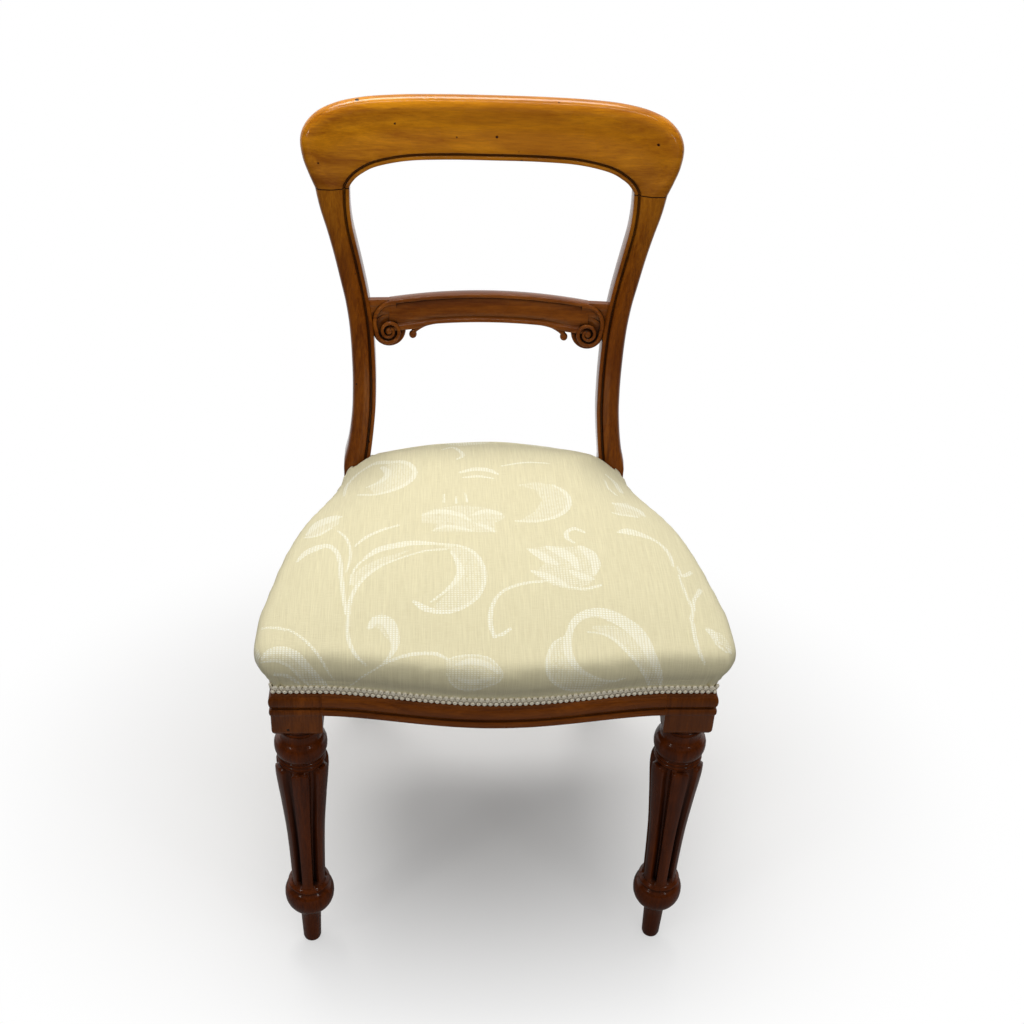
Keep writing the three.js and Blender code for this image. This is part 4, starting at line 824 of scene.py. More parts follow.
# Height and radius of the turning, from the foot up; the reeds lie between reed_low and
# reed_high
turning = [
    (0, 0.0086), (0.0012, 0.0096), (0.004, 0.0104), (0.02, 0.0109), (0.04, 0.0115),
    (0.0535, 0.012), (0.0565, 0.0131), (0.0575, 0.0149), (0.0595, 0.0176), (0.063, 0.0210),
    (0.067, 0.0240), (0.0715, 0.0263), (0.0765, 0.0278), (0.082, 0.0283), (0.087, 0.0281),
    (0.0915, 0.0270), (0.0945, 0.0255), (0.0963, 0.0238), (0.0972, 0.0221), (0.0984, 0.0212),
    (0.0995, 0.0221), (0.1008, 0.0236), (0.1023, 0.0240), (0.1038, 0.0234), (0.1048, 0.0217),
    (0.106, 0.0204)]
reed_low = 0.1065
reed_high = 0.2985
shaft_rows = [(0, 0), (0.08, 0.02), (0.4, 0.2), (0.72, 0.62), (0.9, 0.92), (0.96, 1)]
upper_turning = [
    (0.2995, 0.0248), (0.3008, 0.0247), (0.3016, 0.0258), (0.3027, 0.0263), (0.3039, 0.0258),
    (0.3047, 0.0247), (0.3058, 0.0246), (0.3067, 0.0257), (0.3079, 0.0262), (0.3091, 0.0257),
    (0.3099, 0.0246), (0.3112, 0.0245), (0.3122, 0.0258), (0.3145, 0.0272), (0.3180, 0.0281),
    (0.3220, 0.0284), (0.3260, 0.0281), (0.3295, 0.0271), (0.3322, 0.0256), (0.3338, 0.0238),
    (0.3350, 0.0224), (0.3380, 0.0213), (0.3420, 0.0210), (0.3460, 0.0214), (0.3480, 0.0222),
    (0.3488, 0.0236), (0.3503, 0.0242), (0.3518, 0.0236), (0.3527, 0.0224), (0.3542, 0.0224),
    (0.3550, 0.0240), (0.3566, 0.0248), (0.3582, 0.0248), (0.3600, 0.0248)]
reed_count = 6
points_per_reed = 20
reed_depth = 0.007
reed_steps = 54
reed_end = 0.009
reed_dish = 0.0011
shaft_low_radius = 0.0195
shaft_high_radius = 0.0294
shaft_foot_radius = 0.0205
shaft_bare_radius = 0.0248


def reed_ring(height, x):
    """The shaft at one height: a lobe for each reed, with a rounded end at the top."""
    share = (height - reed_low) / (reed_high - 0.006 - reed_low)
    radius = blend(shaft_low_radius, shaft_high_radius, curve_at(shaft_rows, share))
    top = max((height - (reed_high - reed_end)) / reed_end, 0)
    foot = max((reed_low + 0.003 - height) / 0.003, 0)
    half = math.sqrt(max(1 - top * top, 0))
    ring = []
    for k in range(reed_count * points_per_reed):
        angle = 2 * math.pi * k / (reed_count * points_per_reed) - math.pi / 2
        across = 1 - abs(2 * (k % points_per_reed) / points_per_reed - 1)
        groove = soft_step(0.58, 0.88, across)
        hollow = reed_dish * across ** 2 + (reed_depth - reed_dish) * groove
        out = radius - hollow - 0.0014 * top ** 3
        if top > 0:
            out = blend(out, min(out, shaft_bare_radius),
                        soft_step(half - 0.22, half + 0.04, across))
        if foot > 0:
            out = blend(out, shaft_foot_radius, soft_step(0, 1, foot))
        ring.append((x + out * math.cos(angle), floor_y + out * math.sin(angle), height))
    return ring


def plain_ring(height, radius, x):
    """A round section with as many points as the reeds have."""
    count = reed_count * points_per_reed
    return [(x + radius * math.cos(2 * math.pi * k / count - math.pi / 2),
             floor_y + radius * math.sin(2 * math.pi * k / count - math.pi / 2), height)
            for k in range(count)]


for side, direction in [("left", -1), ("right", 1)]:
    bm = bmesh.new()
    rings = []
    corner = 0.0016
    for proud, z in block_rows:
        front = floor_y + hem_front - proud
        outer = hem_side + proud
        rear = floor_y + block_half
        inner_x = block_inner + (max(plain_proud - proud, 0) if z < lip_low - 0.002 else 0)
        rounded = [(outer - corner + dx, front + corner - dy) for dx, dy in
                   arc((0, 0), corner, 90, 0, 4)]
        plan = [(inner_x, front), (blend(inner_x, outer, 0.5), front), *rounded,
                (outer, blend(front, rear, 0.5)), (outer, rear), (inner_x, rear)]
        rings.append([(direction * x, y, z) for x, y in plan])
    swept(bm, rings, (0.2, 0.08))
    for face in bm.faces:
        face.material_index = 1
    middle = direction * leg_half
    rings = [plain_ring(z, r, middle) for z, r in turning]
    heights = [blend(reed_low, reed_high - reed_end, i / reed_steps)
               for i in range(reed_steps)]
    heights += [reed_high - reed_end * (1 - i / 10) for i in range(11)]
    rings += [reed_ring(z, middle) for z in heights]
    rings += [plain_ring(z, r, middle) for z, r in upper_turning]
    swept(bm, rings, (0.17, 0.365))
    leg = new_piece(f"fine_leg_{side}", bm, leg_wood_dark_and_shaded, 42)
    leg.data.materials.append(block_wood)
    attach(leg, "root")
    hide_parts(f"front_leg_{side}")


# Seat cover: pale damask pulled over the hair stuffing and tacked along the show wood. It is
# crowned, swells over the rails, folds into a pleat at each front corner and is cut round
# the posts.
cushion_middle = seat_depth / 2
back_rail_rear = seat_depth + 0.005 + 0.022
cover_low = show_top + 0.0006
gimp_low = show_top + 0.0003
gimp_height = 0.0114
hem_high = gimp_low + 0.0095
cushion_rise = crown_height - hem_high
cover_thickness = 0.0022
cushion_bulge = 0.018
back_bulge = 0.004
hem_corner = 0.003


def hem_half():
    """Half of the hem line in plan, from the middle of the front to the middle of the back."""
    points = [(block_inner * i / 24, hem_front - front_sweep(block_inner * i / 24))
              for i in range(25)]
    points.append(((block_inner + hem_side) / 2, hem_front))
    points += [(hem_side - hem_corner + x, hem_front + hem_corner + y)
               for x, y in arc((0, 0), hem_corner, -90, 0, 5)]
    points += [(side_hem(blend(block_half, seat_depth, i / 24)),
                blend(block_half, seat_depth, i / 24)) for i in range(25)]
    inner = seat_post_half_width - seat_post_width
    points += [(blend(inner, hem_rear, 0.95), blend(seat_depth, back_rail_rear, 0.5)),
               (blend(inner, hem_rear, 0.6), back_rail_rear)]
    points += [(inner * share, back_rail_rear) for share in (0.9, 0.7, 0.5, 0.25, 0)]
    return points


def hem_line():
    """The whole hem line: places in plan, each with the direction outwards."""
    half = hem_half()
    line = half + [(-x, y) for x, y in reversed(half[1:-1])]
    rows = []
    for i, (x, y) in enumerate(line):
        before, after = line[i - 1], line[(i + 1) % len(line)]
        out = Vector((after[1] - before[1], before[0] - after[0])).normalized()
        rows.append((x, y, out))
    return rows


def crown_share(x, y):
    """How much of the crown's height is left over a place: less at the back and the posts."""
    rear = soft_step(0.4 * seat_depth, 1.02 * seat_depth, y)
    corner = min(abs(x) / (seat_post_half_width - seat_post_width / 2), 1)
    return 1 - rear * (0.345 + 0.44 * corner ** 2)


# Outward swell, way in to the middle and height of the cushion's skin, as shares
cushion_profile = smooth_path([Vector(row) for row in [
    (0, 0, 0), (0.22, 0, 0.12), (0.55, 0, 0.26), (0.88, 0, 0.43), (1, 0, 0.6), (0.8, 0, 0.75),
    (0.1, 0, 0.86), (0, 0.1, 0.91), (0, 0.3, 0.96), (0, 0.6, 0.99), (0, 0.82, 0.999),
    (0, 0.97, 1)]], 60)


def cushion_rings(lowered_by):
    """The rings of the cushion's skin, from below the hem up, its crown lowered a little."""
    line = hem_line()
    rings = [[(x, floor_y + y, cover_low - 0.012) for x, y, _ in line],
             [(x, floor_y + y, cover_low) for x, y, _ in line]]
    for swell, inward, up in cushion_profile:
        ring = []
        for x, y, out in line:
            side = cushion_bulge * (1 - soft_step(0.3 * seat_depth, 0.9 * seat_depth, y))
            side += back_bulge * soft_step(seat_depth, back_rail_rear, y)
            reach = swell * side
            short = max(1 - inward / 0.5, 0) ** 2
            lowered = blend(1, crown_share(x, y), short)
            height = hem_high + (cushion_rise - lowered_by) * up * lowered
            plan = (Vector((x, y)) + out * reach).lerp(Vector((0, cushion_middle)), inward)
            ring.append((plan.x, floor_y + plan.y, height))
        rings.append(ring)
    return rings


def finished_mesh(piece):
    """The mesh of an object with its modifiers applied."""
    bpy.context.view_layer.update()
    view = bpy.context.evaluated_depsgraph_get()
    return bpy.data.meshes.new_from_object(piece.evaluated_get(view), depsgraph=view)


def mesh_points(mesh):
    """The places of a mesh's vertices."""
    places = np.empty(len(mesh.vertices) * 3)
    mesh.vertices.foreach_get("co", places)
    return places.reshape(-1, 3)


def put_points(mesh, places):
    """Gives a mesh's vertices their places."""
    mesh.vertices.foreach_set("co", places.ravel())
    mesh.update()


settle_frames = 20


def settled(piece, voxel, pressure, most, held_below):
    """Remeshes a closed form evenly and lets it swell as cloth. The stuffing keeps each point
    from moving inwards, none moves further than most, and those below a height are held."""
    form = piece.modifiers.new("even", "REMESH")
    form.mode = "VOXEL"
    form.voxel_size = voxel
    piece.data = finished_mesh(piece)
    piece.modifiers.remove(form)
    start = mesh_points(piece.data)
    held = piece.vertex_groups.new(name="held")
    held.add([int(i) for i in np.nonzero(start[:, 2] < held_below)[0]], 1.0, "REPLACE")
    cloth = piece.modifiers.new("cloth", "CLOTH")
    cloth.settings.use_pressure = True
    cloth.settings.uniform_pressure_force = pressure
    cloth.settings.vertex_group_mass = "held"
    cloth.settings.effector_weights.gravity = 0
    cloth.point_cache.frame_start = 1
    cloth.point_cache.frame_end = settle_frames
    for step in range(1, settle_frames + 1):
        bpy.context.scene.frame_set(step)
    moved = mesh_points(finished_mesh(piece)) - start
    piece.modifiers.remove(cloth)
    piece.vertex_groups.remove(held)
    bpy.context.scene.frame_set(1)
    normals = np.array([vert.normal for vert in piece.data.vertices])
    moved -= normals * np.minimum((moved * normals).sum(1), 0)[:, None]
    length = np.linalg.norm(moved, axis=1)
    free = np.clip((start[:, 2] - held_below) / 0.02, 0, 1)
    kept = most * free / (length + most * 0.5)
    put_points(piece.data, start + moved * kept[:, None])


def smoother(mesh, levels):
    """A finely divided, smooth copy of a mesh."""
    piece = bpy.data.objects.new("smoother", mesh)
    bpy.context.scene.collection.objects.link(piece)
    divided = piece.modifiers.new("smooth", "SUBSURF")
    divided.levels = divided.render_levels = levels
    smooth = finished_mesh(piece)
    bpy.data.objects.remove(piece)
    return smooth


post_rings = {}
for direction in (-1, 1):
    post_rings[direction] = [
        [(x * direction, y, z) for x, y, z in post_ring(rail_bottom + 0.13 * i / 24)]
        for i in range(25)]


def post_blank(grown):
    """The two posts about the seat, as solids that stand proud by a distance."""
    bm = bmesh.new()
    for direction in (-1, 1):
        swept(bm, post_rings[direction], (0.1, 0.1))
    bmesh.ops.triangulate(bm, faces=list(bm.faces))
    bm.normal_update()
    places = [vert.co + vert.normal * grown for vert in bm.verts]
    for vert, place in zip(bm.verts, places):
        vert.co = place
    return bm


def tucked(mesh, posts, depth, reach):
    """Rolls the cloth down where it meets a post."""
    for vert in mesh.vertices:
        if vert.co.y < floor_y + seat_depth - 0.03 or vert.co.z < rail_top:
            continue
        _, _, _, far = posts.find_nearest(vert.co)
        if far is not None and far < reach:
            vert.co.z -= depth * (1 - far / reach) ** 2


bm = bmesh.new()
swept(bm, cushion_rings(0.0035), (0.3, 1.5))
cover_start = new_piece("cover_start", bm, leg_wood_dark_and_shaded)
settled(cover_start, 0.0058, 4.0, 0.0042, hem_high)
cover_form = cover_start.data
bm = bmesh.new()
bm.from_mesh(cover_form)
for i in range(9):
    bmesh.ops.smooth_vert(bm, verts=[v for v in bm.verts if v.co.z > hem_high + 0.014],
                          factor=0.5, use_axis_x=True, use_axis_y=True, use_axis_z=True)
bm.to_mesh(cover_form)
bm.free()
shoulder_drop = 0.007
dome_rise = 0.006
places = mesh_points(cover_form)
for i, place in enumerate(places):
    if place[2] > hem_high + 0.012:
        uneven = (noise.noise(Vector(place) * 13) * 0.0011
                  + noise.noise(Vector(place) * 31) * 0.0004)
        places[i] += np.array(cover_form.vertices[i].normal) * uneven
        from_front = place[1] - floor_y - hem_front + front_sweep(place[0]) + cushion_bulge
        shaped = dome_rise * soft_step(0.02, 0.13, from_front) * (
            1 - soft_step(0.15, 0.33, from_front)) * (1 - soft_step(0.04, 0.22, abs(place[0])))
        shaped -= shoulder_drop * (1 - soft_step(0, 0.11, from_front))
        places[i][2] += shaped * ((place[2] - hem_high) / cushion_rise) ** 2
put_points(cover_form, places)
bm = post_blank(0)
post_tree = BVHTree.FromBMesh(bm)
bm.free()
outer_skin = smoother(cover_form, 2)
inner_skin = cover_form.copy()
pad_form = cover_form.copy()
places = mesh_points(inner_skin)
put_points(inner_skin, places - cover_thickness * np.array(
    [vert.normal for vert in inner_skin.vertices]))
bpy.data.objects.remove(cover_start)

pleat_x = 0.2195
pleat_width = 0.002
for vert in outer_skin.vertices:
    across = (abs(vert.co.x) - pleat_x - 0.04 * (vert.co.z - hem_high)) / pleat_width
    if abs(across) < 3 and vert.co.y < floor_y + 0.02:
        up = 1 - soft_step(hem_high + 0.006, hem_high + 0.032, vert.co.z)
        vert.co.y += 0.0026 * up * math.exp(-across ** 2)
        vert.co.y -= 0.0009 * up * math.exp(-(across - 1.6) ** 2)
for skin in (outer_skin, inner_skin):
    tucked(skin, post_tree, 0.0045, 0.012)

bm = bmesh.new()
bm.from_mesh(inner_skin)
bmesh.ops.reverse_faces(bm, faces=list(bm.faces))
bm.from_mesh(outer_skin)
bmesh.ops.bisect_plane(bm, geom=list(bm.verts) + list(bm.edges) + list(bm.faces),
                       plane_co=(0, 0, cover_low), plane_no=(0, 0, -1), clear_outer=True)
bmesh.ops.bridge_loops(bm, edges=[edge for edge in bm.edges if edge.is_boundary])
bmesh.ops.triangulate(bm, faces=[face for face in bm.faces if len(face.verts) > 4])

# The damask: fine upright threads, with the scrolls woven in a brighter cream
damask, damask_tree = new_material("damask")
cover = new_piece("fine_seat_cover", bm, damask)
bm = post_blank(0.0004)
cutter = new_piece("post_cutter", bm, leg_wood_dark_and_shaded)
cut = cover.modifiers.new("round_posts", "BOOLEAN")
cut.operation = "DIFFERENCE"
cut.solver = "MANIFOLD"
cut.object = cutter
cut_mesh = finished_mesh(cover)
cover.modifiers.remove(cut)
cover.data = cut_mesh
bpy.data.objects.remove(cutter)
cover.data.materials.clear()
cover.data.materials.append(damask)
cover.data.shade_smooth()

# The scrolls, leaves and flowers, traced from the photo and laid out on the flat
# cloth: across, along and half width, in mm
scroll_strokes = [
    [(-136, 96, 2.5), (-123, 108, 4.5), (-105, 114, 5.1), (-87, 117, 4.5), (-72, 116, 3),
     (-56, 113, 2), (-36, 109, 2), (-21, 96, 2.5), (-13, 75, 2.4), (-12, 54, 2.3),
     (-18, 33, 2.3), (-32, 18, 2.2), (-49, 11, 2.6), (-64, 12, 3), (-77, 18, 3.5),
     (-85, 25, 1.7)],
    [(-46, 99, 1.5), (-40, 84, 2.9), (-37, 66, 4.2), (-43, 50, 2.8), (-56, 34, 1.8),
     (-67, 24, 1.3)],
    [(-131, -63, 1.2), (-142, -48, 2), (-148, -32, 2.1), (-151, -14, 2), (-151, 6, 2.1),
     (-150, 28, 2.2), (-144, 49, 2.3), (-133, 67, 2.4), (-118, 81, 1.9), (-95, 93, 1.4),
     (-72, 102, 1.5), (-51, 104, 1.5)],
    [(-151, 52, 0.9), (-149, 71, 1.4), (-143, 86, 1.5), (-134, 96, 1.5)],
    [(-211, 103, 2.2), (-202, 115, 4.8), (-191, 121, 5.2), (-179, 123, 3.6), (-170, 113, 2.6),
     (-164, 95, 2.5), (-161, 67, 2.4), (-157, 36, 2.2), (-153, 12, 1.7)],
    [(-169, 150, 1.2), (-160, 136, 1.6), (-154, 115, 1.5), (-153, 94, 1.5), (-156, 73, 1)],
    [(-129, -8, 2.8), (-123, 3, 5.1), (-112, 1, 6.8), (-106, -13, 6.1), (-103, -30, 4.3),
     (-106, -46, 2.5), (-114, -60, 1.2)],
    [(-149, -89, 0.8), (-137, -79, 1.2), (-124, -69, 1.2), (-114, -61, 1.6), (-103, -54, 2),
     (-89, -48, 2.5), (-74, -46, 2.5), (-62, -47, 2.5), (-52, -54, 1.7)],
    [(-52, -56, 0.8), (-42, -51, 1.3), (-27, -49, 1.3), (-12, -52, 1.3), (-3, -62, 1.2),
     (3, -76, 1.2), (-1, -86, 1.2), (-12, -92, 1.2), (-23, -96, 1.2), (-38, -95, 1.2),
     (-47, -87, 1.2), (-52, -74, 0.8)],
    [(-42, -62, 2), (-28, -58, 4.6), (-13, -62, 4.1), (-1, -74, 1.6)],
    [(-42, -81, 1.6), (-28, -86, 3.6), (-15, -84, 3.2), (-5, -80, 1.2)],
    [(71, -17, 3.3), (78, 0, 3.9), (90, 10, 4.8), (106, 13, 6.2), (121, 7, 7.9),
     (135, -5, 8.4), (145, -22, 8), (152, -44, 5.9), (160, -66, 4.2), (169, -86, 2.1)],
    [(71, -17, 3.7), (69, -33, 4.8), (71, -52, 4.2), (80, -69, 3.3), (96, -79, 2),
     (114, -84, 1.7), (129, -79, 0.8)],
    [(91, -14, 1.2), (107, -17, 1.6), (119, -27, 2.2), (129, -43, 2.1), (139, -60, 2.1),
     (149, -76, 2.1), (157, -87, 1.7)],
    [(68, -20, 0.8), (57, -29, 1.7), (49, -50, 2.1), (48, -71, 2.1), (55, -86, 2),
     (71, -95, 1.7), (89, -96, 0.8)],
    [(36, 106, 1.5), (45, 99, 5), (56, 88, 5.8), (65, 81, 2.9)],
    [(57, 110, 2.5), (71, 102, 7), (82, 90, 6.3), (87, 75, 2.9)],
    [(93, 113, 2.6), (102, 102, 6.6), (107, 84, 5.3), (104, 67, 2.4)],
    [(38, 67, 1.9), (51, 61, 4.7), (63, 53, 5.2), (74, 45, 1.9)],
    [(80, 69, 2.9), (91, 62, 5.2), (101, 59, 2.4)],
    [(72, 45, 1.4), (91, 43, 1.9), (109, 50, 1.9)],
    [(87, 120, 1.5), (80, 128, 2.6), (81, 140, 2.6), (90, 147, 2.7), (100, 141, 2.1)],
    [(53, 52, 1.4), (37, 50, 1.9), (20, 45, 1.9), (5, 36, 1.8), (-4, 21, 2.2), (-8, -1, 2.6),
     (-4, -22, 2)],
    [(-4, -22, 1.6), (5, -17, 2.5), (12, -10, 1.7)],
    [(-77, 172, 1.6), (-57, 179, 4.3), (-36, 171, 4.2), (-25, 159, 1.6)],
    [(-21, 171, 2.1), (-5, 179, 4.8), (10, 173, 2.7)],
    [(-19, 153, 1.6), (-6, 145, 3.6), (2, 137, 1.5)],
    [(-66, 139, 1), (-52, 147, 2.6), (-35, 143, 3.1), (-23, 138, 1.5)],
    [(-53, 216, 1.1), (-53, 199, 1.6)],
    [(-39, 210, 1.1), (-39, 196, 1.6)],
    [(-29, 218, 1.1), (-27, 199, 1.6)],
    [(-149, 117, 1), (-139, 131, 2.1), (-123, 144, 2.1), (-103, 153, 1.6)],
    [(26, 159, 1.6), (51, 160, 2.1), (76, 174, 2.7), (88, 196, 2.8), (86, 223, 2.9),
     (73, 238, 1.8)],
    [(-54, 325, 1.3), (-42, 334, 2.5), (-33, 319, 2.5), (-30, 303, 2.5), (-37, 294, 1.3)],
    [(-34, 263, 1.9), (-16, 271, 3.8), (0, 269, 3.8), (10, 261, 1.7)],
    [(-31, 252, 1.2), (-12, 255, 2.3), (5, 251, 1.2)],
    [(15, 279, 1.3), (46, 288, 1.9), (72, 286, 1.3)],
    [(-168, 248, 1.3), (-166, 294, 2.5), (-155, 315, 3.2), (-137, 319, 3.2), (-116, 301, 3.1),
     (-95, 287, 3), (-86, 265, 3), (-93, 243, 3), (-110, 229, 3.1), (-131, 224, 2.4),
     (-151, 236, 1.9)],
    [(-141, 253, 1.9), (-125, 257, 3.8), (-118, 275, 4.4), (-126, 298, 1.9)],
    [(-206, 154, 2.5), (-193, 173, 8.2), (-178, 180, 7.8), (-168, 181, 2.3)],
    [(-209, 148, 1.3), (-191, 147, 2.5), (-177, 157, 1.8)],
    [(141, 211, 2.5), (155, 212, 5.7), (168, 207, 5.1), (175, 191, 1.9)],
    [(136, 186, 1.1), (149, 184, 2.5), (165, 185, 1.9)],
    [(139, 146, 2.1), (150, 149, 6), (164, 145, 4.4), (177, 138, 2.2), (187, 126, 2.2),
     (192, 108, 2.1), (192, 92, 1.6)],
    [(197, 93, 1.1), (200, 76, 2.1), (212, 86, 2.9)],
    [(207, 39, 2), (218, 56, 3.4)],
    [(207, 39, 2), (201, 9, 2.4), (200, -17, 2.2), (203, -43, 2.1), (208, -60, 1.2)],
    [(196, 76, 1), (198, 51, 1.5), (202, 26, 1.5)],
    [(-234, -53, 1.7), (-227, -44, 4.1), (-215, -41, 5.4), (-202, -48, 5.3), (-192, -61, 4.4),
     (-182, -75, 3.2), (-173, -87, 2.1)],
    [(-235, -58, 1.2), (-220, -56, 2), (-206, -65, 2), (-197, -78, 2), (-190, -87, 1.7)],
    [(-222, -74, 2), (-210, -76, 2.4), (-200, -85, 1.6)],
    [(-248, 2, 1.3), (-223, -4, 1.9), (-206, -14, 1.6), (-191, -29, 1.7), (-178, -50, 1.6),
     (-170, -69, 1.2), (-165, -80, 0.8)],
    [(218, -4, 1.9), (224, -10, 5.7), (229, -26, 6.3), (251, -29, 2.5)],
    [(216, -12, 0.9), (222, -32, 1.3), (232, -44, 1.3)],
    [(144, 303, 1.9), (152, 292, 3.8), (157, 259, 3.2)],
    [(139, 281, 1.3), (141, 257, 1.9), (148, 241, 1.9)]]
# Leaves and petals filled with a net of threads, traced the same way: outlines, in mm
hatched_areas = [
    [(-56, 111), (-36, 108), (-21, 95), (-13, 74), (-12, 52), (-18, 33), (-32, 18), (-49, 11),
     (-66, 16), (-56, 29), (-41, 48), (-35, 66), (-38, 84), (-46, 100)],
    [(-151, 51), (-148, 70), (-134, 85), (-118, 94), (-87, 106), (-118, 81), (-133, 67),
     (-144, 49)],
    [(-129, -4), (-118, 12), (-105, 1), (-99, -22), (-104, -35), (-115, -19), (-119, -10)],
    [(-52, -56), (-42, -51), (-27, -49), (-12, -52), (-3, -62), (3, -76), (-1, -86),
     (-12, -92), (-23, -96), (-38, -95), (-47, -87), (-52, -74)],
    [(93, -6), (116, -2), (133, -15), (145, -39), (155, -64), (166, -87), (157, -87),
     (139, -60), (119, -27), (107, -17)],
    [(71, -18), (57, -29), (49, -50), (48, -71), (55, -86), (71, -95), (95, -96), (114, -85),
     (92, -78), (71, -52)],
    [(36, 106), (57, 112), (75, 111), (98, 115), (110, 96), (106, 68), (98, 51), (78, 40),
     (59, 46), (40, 61), (52, 81)],
    [(-78, 176), (-64, 184), (-39, 191), (-14, 189), (11, 178), (15, 165), (2, 153), (4, 137),
     (-15, 135), (-40, 137), (-66, 137), (-60, 153), (-78, 157)],
    [(30, 237), (52, 244), (73, 239), (86, 223), (88, 196), (76, 174), (51, 160), (28, 159),
     (48, 179), (58, 205), (51, 227)],
    [(-140, 250), (-118, 275), (-126, 300), (-95, 287), (-86, 265), (-93, 243), (-110, 229),
     (-131, 224)],
    [(-207, 150), (-194, 179), (-169, 185), (-169, 163), (-191, 147)],
    [(141, 212), (158, 224), (176, 195), (164, 181), (140, 183)],
    [(-235, -54), (-215, -41), (-191, -58), (-172, -87), (-190, -87), (-206, -65),
     (-220, -56)],
    [(218, -4), (235, -7), (255, -27), (222, -32)]]


def to_cloth(places):
    """Where each place on the cushion lies on the flat cloth, in metres."""
    x, y, z = places[:, 0], places[:, 1] - floor_y, places[:, 2]
    left = np.array([crown_share(a, b) for a, b in zip(x, y)])
    drop = np.maximum(hem_high + cushion_rise * 0.88 * left - z, 0)
    side = np.interp(y, [block_half, seat_depth], [hem_side, hem_rear])
    in_from_side = side - np.abs(x)
    on_back = (back_rail_rear - y < in_from_side) & (y > cushion_middle)
    on_side = ~on_back & (in_from_side < y - hem_front)
    u = np.where(on_side, x + np.sign(x) * drop, x)
    v = np.where(on_back, y + drop, np.where(on_side, y, y - drop))
    return u, v


def distance_to(u, v, line):
    """Distance from places on the cloth to a line of points, each with a half width."""
    least = np.full(len(u), 1.0)
    for first, second in zip(line, line[1:]):
        run = second - first
        along = ((u - first.x) * run.x + (v - first.y) * run.y) / max(run.x ** 2 + run.y ** 2,
                                                                      1e-12)
        along = np.clip(along, 0, 1)
        far = np.hypot(u - first.x - run.x * along, v - first.y - run.y * along)
        least = np.minimum(least, far - (first.z + run.z * along))
    return least


def inside(u, v, corners):
    """Which places lie inside an outline on the cloth."""
    odd = np.zeros(len(u), bool)
    for first, second in zip(corners, corners[1:] + corners[:1]):
        crosses = (first.y > v) != (second.y > v)
        rise = second.y - first.y if second.y != first.y else 1e-9
        odd ^= crosses & (u < first.x + (second.x - first.x) * (v - first.y) / rise)
    return odd


def near(u, v, line, reach):
    """The places within reach of a line's own box."""
    xs, ys = [p.x for p in line], [p.y for p in line]
    return np.nonzero((u > min(xs) - reach) & (u < max(xs) + reach)
                      & (v > min(ys) - reach) & (v < max(ys) + reach))[0]


cover_u, cover_v = to_cloth(mesh_points(cover.data))
repeat_across, repeat_along, repeat_start = 0.506, 0.44, -0.1
woven_u = (cover_u + repeat_across / 2) % repeat_across - repeat_across / 2
woven_v = (cover_v - repeat_start) % repeat_along + repeat_start
figure = np.full(len(cover_u), 0.015)
hatch = np.full(len(cover_u), 0.015)
mm = 0.001
figure_reach = 0.018
for stroke in scroll_strokes:
    line = smooth_path([Vector(point) * mm for point in stroke], 5 * (len(stroke) - 1))
    here = near(woven_u, woven_v, line, figure_reach)
    figure[here] = np.minimum(figure[here], distance_to(woven_u[here], woven_v[here], line))
for outline in hatched_areas:
    line = [Vector((u, v, 0)) * mm for u, v in outline]
    here = near(woven_u, woven_v, line, figure_reach)
    far = distance_to(woven_u[here], woven_v[here], line + line[:1])
    far = np.where(inside(woven_u[here], woven_v[here], line), -far, far)
    hatch[here] = np.minimum(hatch[here], far)
for name, values in (("figure", figure), ("hatch", hatch)):
    cover.data.attributes.new(name, "FLOAT", "POINT").data.foreach_set("value", values)
cloth_map = cover.data.uv_layers.new(name="cloth")
loop_verts = np.empty(len(cover.data.loops), int)
cover.data.loops.foreach_get("vertex_index", loop_verts)
cloth_map.data.foreach_set("uv", np.stack(
    [cover_u[loop_verts], cover_v[loop_verts]], -1).ravel())
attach(cover, "root")
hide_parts("seat_cover")

cloth_place = add_node(damask_tree, "ShaderNodeUVMap", uv_map="cloth").outputs[0]
cloth_axes = add_node(damask_tree, "ShaderNodeSeparateXYZ", {0: cloth_place})


def thread_noise(scale, detail=2.0):
    """Noise on the cloth, drawn out along or across the threads."""
    turned = add_node(damask_tree, "ShaderNodeMapping", {"Vector": cloth_place,
                                                         "Scale": scale})
    return add_noise(damask_tree, turned.outputs[0], 1.0, detail)


def thread_wave(axis, pitch):
    """A wave from 0 to 1 across threads of one pitch."""
    turn = add_math(damask_tree, "MULTIPLY", cloth_axes.outputs[axis], 2 * math.pi / pitch)
    return add_math(damask_tree, "MULTIPLY_ADD", add_math(damask_tree, "SINE", turn), 0.5)


warp_noise = thread_noise((1150, 30, 1))
strie_noise = thread_noise((560, 5, 1), 3.0)
weft_noise = thread_noise((90, 950, 1))
ragged = add_math(damask_tree, "MULTIPLY", add_math(
    damask_tree, "SUBTRACT", thread_noise((620, 480, 1)), 0.5), 0.0036)
figure_mask = add_range(damask_tree, add_math(damask_tree, "ADD", add_node(
    damask_tree, "ShaderNodeAttribute", attribute_name="figure").outputs["Fac"], ragged),
    0.0003, -0.0004)
hatch_mask = add_range(damask_tree, add_math(damask_tree, "ADD", add_node(
    damask_tree, "ShaderNodeAttribute", attribute_name="hatch").outputs["Fac"], ragged),
    0.0002, -0.0005)
net = add_math(damask_tree, "MINIMUM", thread_wave("X", 0.0031), thread_wave("Y", 0.0029))
net_gaps = add_range(damask_tree, net, 0.1, 0.45)
broken = add_range(damask_tree, thread_noise((420, 160, 1)), 0.3, 0.48)
hatch_threads = add_math(damask_tree, "MULTIPLY", add_math(
    damask_tree, "MULTIPLY", net_gaps, broken), hatch_mask)
